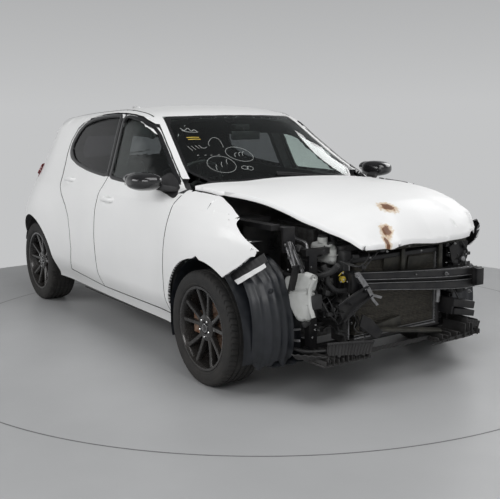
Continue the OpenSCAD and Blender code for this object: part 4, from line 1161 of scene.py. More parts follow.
def pod(batch, xs, ys, zs, power=2.7):
    """A rounded mirror shell: blunt behind, swept in front and thinner outwards."""
    verts, rows, cols = [], 25, 48
    for i in range(rows):
        v = math.pi * i / (rows - 1)
        for j in range(cols):
            u = 2 * math.pi * j / cols
            p = Vector((math.sin(v) * math.cos(u), math.cos(v), math.sin(v) * math.sin(u)))
            p *= 1 / (abs(p.x) ** power + abs(p.y) ** power + abs(p.z) ** power) ** (1 / power)
            t = 0.5 - 0.5 * p.y
            x = xs[0] + (xs[1] - xs[0]) * (0.5 + 0.5 * p.x) - 46 * max(0, p.x) * t ** 2
            z = ((zs[0] + zs[1]) / 2
                 + (zs[1] - zs[0]) / 2 * p.z * (1 - 0.16 * t * t) * (1 - 0.18 * max(0, p.x)))
            verts.append((x, ys[0] + (ys[1] - ys[0]) * t, z))
    faces = [(i * cols + j, i * cols + (j + 1) % cols, (i + 1) * cols + (j + 1) % cols, (i + 1) * cols + j)
             for i in range(1, rows - 2) for j in range(cols)]
    faces += [tuple(cols + j for j in range(cols)), tuple((rows - 2) * cols + j for j in range(cols))]
    batch.add(verts, faces)


def screen_trim(m):
    """Black border, wipers, mirror and the writing left on the windscreen as plain strokes."""
    border = Batch("windscreen_border", m["gloss"], "body", "black_plastic")
    edge = edge_loop("windscreen", 14)
    wide = 20 + 42 * ss(790, 835, edge[:, 0]) + 22 * ss(260, 200, edge[:, 0])
    band(border, edge, wide, -1.5, 0.6, -0.5)
    border.done(40)
    marks = Batch("marker_strokes", m["marker"], "body", "clear_glass")

    def stroke(points, half=2.6, closed=False):
        strip(marks, smooth_2d(points, closed), on_top, half * 0.5, 0.7, 0.1, closed)
    stroke(ellipse(668, -379, 72, 88, 36, -0.35), closed=True)
    stroke(ellipse(614, -216, 60, 86, 36, -0.45), closed=True)
    for y in (-425, -380, -335):
        stroke([(690 - (y + 380) * 0.3, y - 8), (665 - (y + 380) * 0.3, y), (650 - (y + 380) * 0.3, y + 12)],
               3.0)
    for y in (-245, -215, -190):
        stroke([(632, y - 12), (606, y), (600, y + 16)], 3.0)
    stroke(ellipse(725, -250, 14, 22, 20), closed=True)
    stroke(ellipse(735, -218, 16, 20, 20), closed=True)
    stroke([(505, -362), (481, -357), (450, -320), (446, -290), (470, -271), (520, -278), (540, -285)])
    stroke([(300, -452), (330, -440), (318, -410), (350, -400), (345, -378), (374, -366)], 4.2)
    stroke([(322, -455), (352, -420), (372, -372)], 3.4)
    for y in (-492, -470, -446, -425):
        stroke([(470 + (y + 450) * 0.25, y), (506, y + 10)], 2.6)
    stroke([(500, -425), (512, -402), (508, -385)], 2.6)
    for x, y in ((550, -473), (578, -395), (566, -430), (590, -350)):
        stroke([(x, y - 6), (x + 2, y + 5)], 4.0)
    marks.done(40)
    dash = Batch("yellow_stroke", m["yellow"], "body", "clear_glass")
    for x in (390, 408):
        strip(dash, smooth_2d([(x, -458), (x + 12, -420), (x + 26, -384)]), on_top, 3.4, 0.7, 0.1)
    dash.done(40)
    wipers = Batch("wipers", m["plastic"], "body", "black_plastic")
    for root, tip in (((862, 470), (796, -70)), ((862, -190), (796, -560))):
        arm = np.linspace(root, tip, 9)
        p = on_top(arm, 9)
        wipers.tube(p.tolist(), 4.2, 8, 2, 1.4)
        a, b = p[-1], p[-1] + (p[0] - p[-1]) * 0.86
        blade = on_top(np.linspace(a[:2], b[:2], 14) + [6, 0], 6)
        wipers.tube(blade.tolist(), 4.0, 8, 2, 1.3)
        wipers.lathe([(0, -8), (11, -8), (11, 3), (8, 6), (0, 6)], p[0], "Z", 1, 20)
    for k in range(15):
        y = -560 + 80 * k
        z = float(skin_z(np.array([884.0]), np.array([float(y)]))[0])
        wipers.block((868, y - 37, z - 44), (896, y + 37, z - 32), 3)
    wipers.done(40)
    inside = Batch("cabin_mirror", m["plastic"], "body", "black_plastic")
    inside.block((352, -110, 1262), (368, 110, 1318), 7)
    inside.tube([(360, 0, 1290), (330, 0, 1330), (300, 0, 1352)], 7, 10)
    inside.block((262, -55, 1330), (330, 55, 1362), 8)
    inside.done(40)


def smooth_2d(points, closed=False):
    """A flat path through points, as many short runs."""
    if closed:
        return np.array(points, float)
    return np.array([(p.x, p.y) for p in smooth_path([(x, y, 0) for x, y in points], 5)])


def roof_and_tail(m):
    lines = Batch("roof_joints", m["plastic"], "body", "black_plastic")
    for sign in (-1, 1):
        strip(lines, resample([(120, sign * 540), (-400, sign * 544), (-1440, sign * 540)], 40), on_top, 4.0,
              0.9, -3)
    lines.done(40)
    fin = Batch("roof_fin", m["paint"], "body", "white_paint")
    z0 = float(skin_z(np.array([-1170.0]), np.array([0.0]))[0])
    top = CAD_BOX[1].z / MM - 1
    rings = []
    for t in np.linspace(0, 1, 9):
        h, length, wide = z0 - 5 + (top - z0 + 5) * t, 118 * (1 - 0.62 * t ** 1.5), 24 * (1 - t) ** 0.7 + 3
        rings.append([(-1118 - 62 * t - length / 2 - length / 2 * math.cos(a), wide * math.sin(a), h)
                      for a in np.linspace(0, 2 * math.pi, 25)[:-1]])
    fin.add([v for r in rings for v in r], [(i * 24 + k, i * 24 + (k + 1) % 24, (i + 1) * 24 + (k + 1) % 24,
                                             (i + 1) * 24 + k)
                                            for i in range(8)
                                            for k in range(24)] + [tuple(range(24)), tuple(range(192, 216))])
    fin.done(50)
    seal = Batch("tail_glass_border", m["gloss"], "tailgate", "black_plastic")
    strip(seal, rounded(TAIL_GLASS), on_tail, 12, 1.0, -3, closed=True)
    hub = on_tail(np.array([[0.0, 1092.0]]), 9)[0]
    seal.lathe([(0, -14), (17, -14), (17, 4), (11, 9), (0, 9)], hub, "X", -1, 24)
    seal.tube([hub, *on_tail(np.array([[130.0, 1102], [300, 1118]]), 12).tolist()], 4, 8, 6)
    blade = on_tail(np.array([[70.0, 1104], [200, 1116], [350, 1130]]), 4)
    seal.tube(blade.tolist(), 3.5, 8, 6)
    plate = np.array([(y, v) for y, v in [(-360, 835), (-372, 860), (-360, 962), (-330, 985), (330, 985),
                                          (360, 962), (372, 860), (360, 835)]])
    patch(seal, rounded(plate, 20, 3), on_tail, 1.0, -3)
    seal.done(40)
    blank = Batch("blank_plate", m["inner_paint"], "tailgate", "white_plastic")
    patch(blank, rounded([(-260, 852), (-260, 955), (260, 955), (260, 852)], 20, 1), on_tail, 3.4, 0)
    blank.done(40)
    grip = Batch("tailgate_grip", m["paint"], "tailgate", "white_paint")
    strip(grip, resample([(-330, 975), (330, 975)], 20), on_tail, 13, 12, -3)
    grip.done(50)
    low = Batch("rear_bumper_lower", m["plastic"], "body", "black_plastic")
    path = resample([(-560, 330), (-400, 318), (400, 318), (560, 330)], 25)
    strip(low, path, on_tail, 34, 3, -6)
    for z in (306, 322, 338):
        strip(low, resample([(-380, z), (380, z)], 25), on_tail, 4, 7, -3)
    low.done(40)
    lamps = Batch("rear_reflectors", m["red"], "body", "red_lens")
    for sign in (-1, 1):
        strip(lamps, resample([(sign * 470, 400), (sign * 590, 404)], 15), on_tail, 11, 3, -3)
    lamps.done(40)
    for side, sign in SIDES.items():
        lens = Batch(f"tail_lens_{side}", m["red"], "body", "red_lens")
        outline = rounded([(-1800, 962), (-1640, 968), (-1622, 1000), (-1640, 1046), (-1800, 1056)], 12, 3)
        patch(lens, outline, on_side(side), 22, -6, 6)
        lens.done(40)
        bar = Batch(f"tail_lens_bars_{side}", m["gloss"], "body", "black_plastic")
        for z in (985, 1009, 1033):
            strip(bar, resample([(-1785, z), (-1650, z + 2)], 12), on_side(side), 2.2, 23.4, 18)
        strip(bar, rounded([(-1800, 962), (-1640, 968), (-1622, 1000), (-1640, 1046), (-1800, 1056)], 12, 3),
              on_side(side), 4, 12,
              -4, closed=True)
        bar.done(40)


# ---------------------------------------------------------------- cabin


def foam(batch, low, high, turn, about, bolster=0.0, seams=()):
    """A padded block with bulging faces, side bolsters and sewn seams; local x is its thin axis."""
    low, high = np.array(low, float), np.array(high, float)
    centre, half = (low + high) / 2, (high - low) / 2
    thin = int(np.argmin(half))
    bm = bmesh.new()
    bmesh.ops.create_cube(bm, size=2)
    bmesh.ops.subdivide_edges(bm, edges=bm.edges, cuts=21, use_grid_fill=True)
    p = np.array([v.co for v in bm.verts])
    r = (np.abs(p) ** 7).sum(1) ** (1 / 7)
    q = p / r[:, None]
    wide = [a for a in range(3) if a != thin]
    side_axis = 1
    across, along = q[:, side_axis], q[:, [a for a in wide if a != side_axis][0]]
    puff = 1 - 0.16 * (np.abs(q[:, wide[0]]) ** 4 + np.abs(q[:, wide[1]]) ** 4)
    face = np.sign(q[:, thin]) * np.abs(p[:, thin]) ** 3
    relief = np.zeros(len(q))
    for kind, value in seams:
        d = (across if kind == "across" else along) - value
        relief -= 7.0 * np.exp(-(d / 0.035) ** 2)
    relief += bolster * (ss(0.5, 0.9, np.abs(across)) - 0.55)
    out = q * half
    out[:, thin] = out[:, thin] * puff
    out[:, thin] += (face * np.minimum(relief, 0) * (face > 0)
                     + np.where(face > 0, -abs(bolster) * 0.45 * (1 - ss(0.5, 0.9, np.abs(across))), 0))
    rot = np.array(turn.to_3x3()) if turn is not None else np.eye(3)
    local = centre + out
    world = (rot @ local.T).T + np.array(about, float)
    bm.verts.index_update()
    batch.add(world.tolist(), [[v.index for v in f.verts] for f in bm.faces])
    bm.free()


def seats(m):
    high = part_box("front_seats")[1]
    seat_y = 360.0
    w = high.y / MM - seat_y
    for name, y in (("driver", -seat_y), ("passenger", seat_y)):
        soft = Batch(f"{name}_seat", m["cloth"], "body", "seat_cloth")
        lean = Matrix.Rotation(math.radians(-22), 3, "Y")
        foam(soft, (-240, -w, -60), (260, w, 60), Matrix.Rotation(math.radians(-6), 3, "Y"), (-200, y, 395),
             34,
             [("across", -0.52), ("across", 0.52), ("along", 0.1), ("along", 0.6)])
        foam(soft, (-70, 6 - w, 0), (50, w - 6, 560), lean, (-400, y, 400), 40,
             [("across", -0.55), ("across", 0.55), ("along", -0.4), ("along", 0.2), ("along", 0.7)])
        foam(soft, (-50, -125, 590), (40, 125, 750), lean, (-400, y, 400), 8, [("along", -0.5)])
        obj = soft.done(75)
        hard = Batch(f"{name}_seat_frame", m["plastic"], "body", "black_plastic")
        hard.block((-400, y - w + 30, 240), (20, y + w - 30, 345), 14)
        for s in (-52, 52):
            a = lean @ Vector((-10, s, 540)) + Vector((-400, y, 400))
            b = lean @ Vector((-10, s, 610)) + Vector((-400, y, 400))
            hard.tube([a, b], 6, 10)
        hard.block((-420, y - w - 2, 360), (-300, y - w + 14, 440), 6)
        hard.block((-430, y + w - 14, 330), (-250, y + w + 2, 400), 6)
        hard.done(40)
    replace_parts(bpy.data.objects["driver_seat"], "front_seats")
    bench = Batch("rear_bench", m["cloth"], "body", "seat_cloth")
    lean = Matrix.Rotation(math.radians(-20), 3, "Y")
    foam(bench, (-1010, -570, 372), (-600, 570, 490), None, (0, 0, 0), 20,
         [("across", -0.12), ("across", 0.12), ("across", -0.72), ("across", 0.72)])
    foam(bench, (-90, -564, 0), (30, 564, 470), lean, (-1010, 0, 430), 24,
         [("across", -0.14), ("across", 0.14), ("across", -0.7), ("across", 0.7), ("along", 0.5)])
    for y in (-340, 0, 340):
        foam(bench, (-60, y - 110, 469), (0, y + 110, 600), lean, (-1010, 0, 430), 6)
    obj = bench.done(75)
    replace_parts(obj, "rear_seat")


def dash(m):
    """Dashboard, binnacle, screen, vents, console, column and wheel."""
    d = Batch("dash_top", m["plastic"], "body", "black_plastic")
    rows = []
    for y in np.linspace(-598, 598, 41):
        hood = 26 * math.exp(-((y + 360) / 150) ** 4)
        edge = (abs(y) / 598) ** 8 * 26
        section = [(798, 902 - edge), (770, 948 - edge), (700, 958 - edge), (640, 956 - edge + hood),
                   (596, 948 - edge + hood),
                   (574, 920 + hood * 0.6), (590, 880), (566, 840), (562, 780), (580, 720), (620, 702),
                   (798, 702)]
        rows.append([(x, y, z) for x, z in section])
    n = len(rows[0])
    d.add([v for r in rows for v in r],
          [(i * n + k, i * n + (k + 1) % n, (i + 1) * n + (k + 1) % n, (i + 1) * n + k)
           for i in range(40) for k in range(n)] + [tuple(range(n)), tuple(range(40 * n, 41 * n))])
    d.block((562, -105, 720), (600, 105, 850), 12)
    d.block((300, -105, 336), (600, 105, 600), 30)
    d.block((420, -92, 560), (600, 92, 720), 26)
    d.tube([(400, 20, 596), (398, 20, 690)], 11, 14, 1)
    d.block((376, -4, 676), (424, 44, 724), 18)
    d.block((310, -60, 590), (370, -30, 640), 8)
    tilt = Matrix.Rotation(math.radians(-65), 4, "Y")
    base = Matrix.Translation((320, -360, 970)) @ tilt
    d.tube([base @ Vector((0, 0, -330)), base @ Vector((0, 0, -60))], 34, 24)
    d.tube([base @ Vector((0, 0, -330)), base @ Vector((0, 0, -12))], 11.5, 16)
    for y in (-330, -390):
        stalk = [base @ Vector((10, s, -95)) for s in ((40, 110, 160) if y == -330 else (-40, -110, -160))]
        d.tube(stalk, 6, 10, 5)
    obj = d.done(45)
    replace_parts(obj, "dashboard")
    g = Batch("dash_glass", m["gloss"], "body", "black_plastic")
    g.block((562, -470, 880), (572, -250, 958), 8)
    g.block((566, -108, 862), (576, 108, 958), 6)
    for y in (-545, 545, -165, 165):
        g.block((561, y - 34, 872), (573, y + 34, 912), 5)
    g.block((560.5, 200, 770), (566, 500, 772), 0.8)
    g.block((560.5, 200, 850), (566, 500, 852), 0.8)
    g.done(40)
    v = Batch("vent_slats", m["zinc"], "body", "aluminium")
    for y in (-545, 545, -165, 165):
        for z in (882, 892, 902):
            v.block((560.2, y - 30, z - 1.6), (566, y + 30, z + 1.6), 1)
    v.lathe([(0, -4), (13, -4), (13, 6), (0, 6)], (562, -40, 800), "X", -1, 24)
    v.lathe([(0, -4), (13, -4), (13, 6), (0, 6)], (562, 40, 800), "X", -1, 24)
    v.done(40)
    wheel_rim = Batch("steering_wheel_rim", m["plastic"], "steering_wheel", "black_plastic")

    def at(p):
        return [base @ Vector(q) for q in p]
    ring = [(180 + 13.5 * math.cos(b) * (1 + 0.05 * math.sin(9 * a)), a,
             13.5 * math.sin(b)) for a in np.linspace(0, 2 * math.pi, 97)[:-1]
            for b in np.linspace(0, 2 * math.pi, 17)[:-1]]
    wheel_rim.add(at([(r * math.cos(a), r * math.sin(a), z) for r, a, z in ring]),
                  [(i * 16 + k, i * 16 + (k + 1) % 16, (i + 1) % 96 * 16 + (k + 1) % 16,
                    (i + 1) % 96 * 16 + k)
                   for i in range(96) for k in range(16)])
    pad = []
    for r, z in ((0, 12), (34, 11), (48, 5), (52, -6), (52, -38), (13, -40), (13, -10)):
        pad += [(r * math.cos(a) * 1.0, r * math.sin(a), z) for a in np.linspace(0, 2 * math.pi, 33)[:-1]]
    wheel_rim.add(at(pad), [(i * 32 + k, i * 32 + (k + 1) % 32, (i + 1) * 32 + (k + 1) % 32, (i + 1) * 32 + k)
                            for i in range(6) for k in range(32)])
    for a, b, wide in (((6, 40, 0), (8, 172, 0), 17), ((6, -40, 0), (8, -172, 0), 17),
                       ((40, 0, 0), (172, 0, 0), 15)):
        wheel_rim.tube(at([a, ((a[0] + b[0]) / 2, (a[1] + b[1]) / 2, -3), b]), wide, 14, 5, 0.42)
    obj = wheel_rim.done(50)
    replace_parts(obj, "steering_wheel")


def door_cards(side, m):
    """Trim panels with armrest, pull and speaker on the inside of each door."""
    sign = SIDES[side]
    for end, (x0, x1), z1 in (("front", (-100, 730), 960), ("rear", (-570, -230), 975)):
        door = f"door_{end}_{side}"
        probe = bmesh.new()
        probe.from_mesh(NODES[door].data)
        from_inside = BVHTree.FromBMesh(probe)
        probe.free()
        card = Batch(f"door_card_{end}_{side}", m["plastic"], door, "black_plastic")
        grid = []
        for z in np.linspace(400, z1, 15):
            row = []
            for x in np.linspace(x0, x1, 17):
                hit = from_inside.ray_cast(Vector((x * MM, 0, z * MM)), Vector((0, sign, 0)))
                y = hit[0].y / MM if hit[0] else sign * 700
                row.append((x, y, z))
            grid.append(row)
        ys = [p[1] * sign for r in grid for p in r]
        low = min(ys)
        grid = [[(x, sign * (min(y * sign, low + 130) - 3), z) for x, y, z in r] for r in grid]
        card.sheet(grid, 4, (0, -sign, 0))
        mid = grid[7][8][1]
        card.block((x0 + 60, mid - sign * 34, 640), (x1 - 60, mid + sign * 2, 690), 14)
        card.block((x0 + 120, mid - sign * 22, 690), (x0 + 240, mid, 760), 9)
        card.lathe([(0, 0), (76, 0), (80, 3), (76, 6), (0, 5)], (x1 - 130, grid[3][14][1] - sign * 1, 500),
                   "Y", -sign, 40)
        card.done(40)


# ---------------------------------------------------------------- the torn-open front end


def plate(batch, corners, thickness, direction, rows=6, cols=6, bow=0.0, ribs=0, rib_height=3.0, ragged=0.0):
    """A thin plate between four corners, with an even bow, ribs across it and a torn far edge."""
    a, b, c, d = (np.array(p, float) for p in corners)
    out = np.array(Vector(direction).normalized())
    grid = []
    for i in range(rows + 1):
        v = i / rows
        row = []
        for j in range(cols + 1):
            u = j / cols
            tear = ragged * (0.5 + 0.5 * math.sin(9.7 * u + 2.1) * math.cos(23.0 * u)) if i == rows else 0
            w = v * (1 - tear)
            p = (a + (b - a) * u) * (1 - w) + (d + (c - d) * u) * w
            p = p + out * (bow * math.sin(math.pi * u) + (rib_height
                                                          * (0.5 + 0.5 * math.cos(2 * math.pi * ribs * u))
                                                          if ribs else 0))
            row.append(tuple(p))
        grid.append(row)
    batch.sheet(grid, thickness, direction)


def outline_plate(batch, points, thickness, direction):
    """A flat plate with a given outline of 3-D points."""
    n, shift = len(points), Vector(direction).normalized() * thickness
    batch.add([Vector(p) for p in points] + [Vector(p) - shift for p in points],
              [tuple(range(n)), tuple(range(2 * n - 1, n - 1,
                                            -1))] + [(k, (k + 1) % n, n + (k + 1) % n,
                                                      n + k) for k in range(n)])


def nut(batch, centre, axis="X", size=8.0, sign=1):
    batch.lathe([(0, -4), (size * 1.5, -4), (size * 1.5, 0), (size, 0.5), (size, size), (size * 0.55, size),
                 (size * 0.5, size * 2.2),
                 (0, size * 2.2)], centre, axis, sign, 12)


def crash_beam(m):
    """Double-channel bumper beam, hung lower on the left, with its crush boxes and studs."""
    beam = Batch("beam_channel", m["steel"], "body", "bare_steel")
    edge = Batch("beam_edges", m["zinc"], "body", "aluminium")
    ys = np.linspace(-318, 612, 25)

    def front_x(y):
        return 1868 - 0.060 * (y + 318) - 34 * ((y - 140) / 460) ** 2
    def top(y):
        return 634 - 0.083 * (y + 240)
    deep = 88 + 28 * ss(-240, 564, ys)
    section = [(-52, 0), (-6, 0), (0, -0.05), (0, -0.33), (-5, -0.38), (-26, -0.40), (-26, -0.58),
               (-5, -0.60), (0, -0.65), (0, -0.95),
               (-6, -1), (-52, -1)]
    rings = [[(front_x(y) + dx, y, top(y) + dz * h) for dx, dz in section] for y, h in zip(ys, deep)]
    k = len(section)
    beam.add([v for r in rings for v in r], [(i * k + j, i * k + (j + 1) % k, (i + 1) * k + (j + 1) % k,
                                              (i + 1) * k + j)
                                             for i in range(len(ys) - 1) for j in range(k)]
             + [tuple(range(k)), tuple((len(ys) - 1) * k + j for j in range(k))])
    for y0, y1 in ((-360, -300), (560, 618)):
        z = top((y0 + y1) / 2)
        beam.block((1700, y0, z - 100), (1828, y1, z - 4), 5)
        for x in (1730, 1765, 1800):
            beam.block((x, y0 - 5, z - 104), (x + 9, y1 + 5, z), 3)
        beam.block((1694, y0 - 28, z - 118), (1704, y1 + 28, z + 14), 3)
    obj = beam.done(30)
    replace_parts(obj, "bumper_beam")
    for dz in (0.0, 0.385, 0.595, 1.0):
        edge.tube([(front_x(y) + (0.5 if 0 < dz < 1 else -4), y, top(y) - dz * h) for y, h in zip(ys, deep)],
                  2.2, 8, 2)
    for x, y, z in ((1812, 525, 583), (1812, 582, 514), (1812, 517, 438), (1836, 60, 592), (1838, 300, 566)):
        nut(edge, (x, y, z), "X", 7)
    edge.done(40)


def cooler(m):
    """Radiator core with corrugated fins, tubes, end tanks, frame and condenser line."""
    low, high = (Vector(c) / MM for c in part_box("radiator"))
    core = Batch("cooler_core", m["fins"], "body", "aluminium")
    core.block((low.x + 4, low.y + 44, low.z + 26), (high.x - 12, high.y - 44, high.z - 26), 2)
    tubes = 40
    for k in range(tubes):
        z = low.z + 32 + (high.z - low.z - 64) * k / (tubes - 1)
        core.block((high.x - 13, low.y + 46, z - 1.4), (high.x - 9.5, high.y - 46, z + 1.4), 0.6, segments=1)
    obj = core.done(40)
    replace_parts(obj, "radiator")
    ends = Batch("cooler_ends", m["zinc"], "body", "aluminium")
    for sign in (-1, 1):
        y = (high.y - 44) * sign
        ends.block((low.x, y, low.z + 18), (high.x, y + sign * 8, high.z - 18), 1.5)
        for k in range(22):
            z = low.z + 36 + (high.z - low.z - 72) * k / 21
            ends.block((high.x - 6, y + sign * 7, z - 3.2), (high.x - 1, y + sign * 20, z + 3.2), 1.2,
                       segments=1)
    ends.tube([(high.x - 6, low.y + 30, low.z + 16), (high.x - 6, high.y - 30, low.z + 16)], 7, 14)
    ends.tube([(high.x - 6, low.y + 30, low.z + 30), (high.x - 6, high.y - 30, low.z + 30)], 3, 10)
    ends.lathe([(0, 0), (15, 0), (15, 110), (12, 114), (0, 114)], (high.x + 4, high.y - 22, low.z + 130),
               "Z", 1, 20)
    ends.tube([(high.x + 6, high.y - 22, low.z + 226), (high.x + 20, high.y - 40, low.z + 250),
               (high.x + 22, high.y - 120, low.z + 262),
               (high.x + 16, high.y - 260, low.z + 258)], 5.5, 10, 8)
    ends.done(40)
    tank = Batch("cooler_tanks", m["plastic"], "body", "black_plastic")
    for sign in (-1, 1):
        y = high.y * sign
        tank.block((low.x - 4, y - sign * 36, low.z + 8), (high.x + 2, y - sign * 1, high.z - 8), 10)
    tank.block((low.x - 2, low.y + 2, high.z - 26), (high.x + 4, high.y - 2, high.z), 7)
    tank.block((low.x - 2, low.y + 2, low.z), (high.x + 4, high.y - 2, low.z + 12), 4)
    tank.lathe([(96, -8), (262, -8), (268, 0), (262, 8), (96, 8)], (low.x - 16, 60, low.z + 226), "X", -1,
               72, closed=True)
    for k in range(9):
        a = 2 * math.pi * k / 9 + 0.2
        tank.tube([(low.x - 16, 60 + 30 * math.cos(a), low.z + 226 + 30 * math.sin(a)),
                   (low.x - 22, 60 + 215 * math.cos(a + 0.3),
                    low.z + 226 + 215 * math.sin(a + 0.3))], 17, 8, 2, 0.25)
    tank.lathe([(0, -12), (58, -12), (58, 16), (0, 16)], (low.x - 16, 60, low.z + 226), "X", -1, 32)
    tank.done(40)
    panels = Batch("slam_panels", m["olive"], "body", "bare_steel")
    plate(panels, [(1752, -78, 676), (1752, 88, 680), (1742, 88, 596), (1744, -75, 599)], 3, (1, 0, 0.1), 4,
          8, 4)
    plate(panels, [(1756, 96, 668), (1740, 351, 660), (1732, 351, 566), (1746, 93, 572)], 3, (1, 0, 0.1), 4,
          8, -5)
    for y, dy in ((45, 16), (325, 19)):
        panels.block((1752, y - 9, 566), (1766, y + dy, 716), 3)
    panels.block((1738, -206, 722), (1768, 532, 750), 5)
    panels.tube([(1764, -206, 728), (1766, 160, 722), (1760, 532, 720)], 5, 8, 6)
    for y in (-150, -20, 120, 260, 400, 500):
        panels.lathe([(0, 0), (11, 0), (11, 2), (7, 2), (7, 7), (0, 8)], (1766, y, 736), "X", 1, 12)
    panels.block((1756, -178, 296), (1776, 30, 352), 4, Matrix.Rotation(math.radians(8), 3, "X"),
                 (1766, -70, 324))
    panels.tube([(1800, -180, 326), (1812, 50, 292), (1812, 276, 252)], 27, 12, 5, 0.5)
    panels.done(35)


def tanks(m):
    """Washer bottle, coolant tank, brake reservoir and battery."""
    t = Batch("bay_bottles", m["tank"], "body", "translucent_plastic")
    blob(t, [(1545, -368, 690, 23), (1545, -368, 744, 23), (1682, -368, 690, 23), (1682, -368, 744, 23),
             (1600, -362, 762, 20)], 32)
    t.lathe([(0, 0), (26, 0), (26, 26), (22, 30), (0, 30)], (1604, -366, 770), "Z", 1, 32)
    t.tube([(1528, -345, 706), (1500, -330, 700), (1470, -320, 690)], 8, 12, 5)
    blob(t, [(1632, -576, 500, 27), (1700, -576, 440, 30), (1740, -576, 440, 26), (1768, -576, 510, 26),
             (1768, -576, 556, 24),
             (1640, -576, 540, 26)], 36)
    blob(t, [(1600, -574, 566, 28), (1600, -574, 596, 24), (1768, -574, 590, 26), (1790, -574, 636, 22),
             (1740, -574, 640, 22)], 36)
    t.tube([(1812, -584, 640), (1786, -590, 584), (1790, -592, 510), (1806, -586, 450)], 11, 14, 8)
    obj = t.done(50)
    seam = Batch("bottle_seams", m["inner_paint"], "body", "translucent_plastic")
    ring = [(1545 - 24, -368, 716), (1545 - 18, -392, 716), (1682 + 18, -392, 716), (1682 + 24, -368, 716),
            (1682 + 18, -345, 716)]
    seam.tube(ring, 2.6, 8, 4)
    seam.done(40)
    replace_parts(obj, "bay_tanks")
    dark = Batch("bay_bottles_dark", m["plastic"], "body", "black_plastic")
    dark.tube([(1640, -560, 610), (1628, -560, 660), (1622, -556, 706)], 15, 18, 5)
    dark.lathe([(0, 0), (25, 0), (26, 12), (22, 18), (0, 19)], (1622, -556, 704), "Z", 1, 28)
    dark.lathe([(0, 0), (24, 0), (24, 22), (20, 25), (0, 25)], (1604, -366, 786), "Z", 1, 28)
    dark.block((1515, -398, 618), (1672, -332, 646), 6)
    dark.block((1640, -345, 664), (1742, -286, 742), 12)
    dark.lathe([(0, 0), (22, 0), (22, 18), (0, 20)], (1690, -316, 740), "Z", 1, 24)
    dark.block((1752, -592, 486), (1806, -530, 556), 6)
    dark.block((1296, 335, 520), (1480, 465, 716), 8)
    dark.block((1290, 330, 700), (1486, 470, 730), 6)
    for y in (360, 440):
        dark.lathe([(0, 0), (13, 0), (12, 14), (0, 15)], (1440, y, 728), "Z", 1, 20)
    dark.done(45)
    cap = Batch("yellow_cap", m["yellow"], "body", "black_plastic")
    cap.lathe([(0, 0), (15, 0), (16, 4), (16, 16), (12, 19), (0, 19)], (1782, -392, 612), "X", 1, 28)
    cap.tube([(1786, -412, 630), (1794, -402, 644), (1790, -384, 648)], 3, 8, 5)
    cap.done(40)
    bright = Batch("cap_bits", m["chrome"], "body", "aluminium")
    for y, z in ((-402, 646), (-372, 600), (-360, 634), (-414, 604)):
        bright.lathe([(0, 0), (5, 0), (4, 5), (0, 6)], (1802, y, z), "X", 1, 10)
    bright.lathe([(0, 0), (6, 0), (6, 3), (0, 4)], (1801, -392, 612), "X", 1, 6)
    bright.done(40)


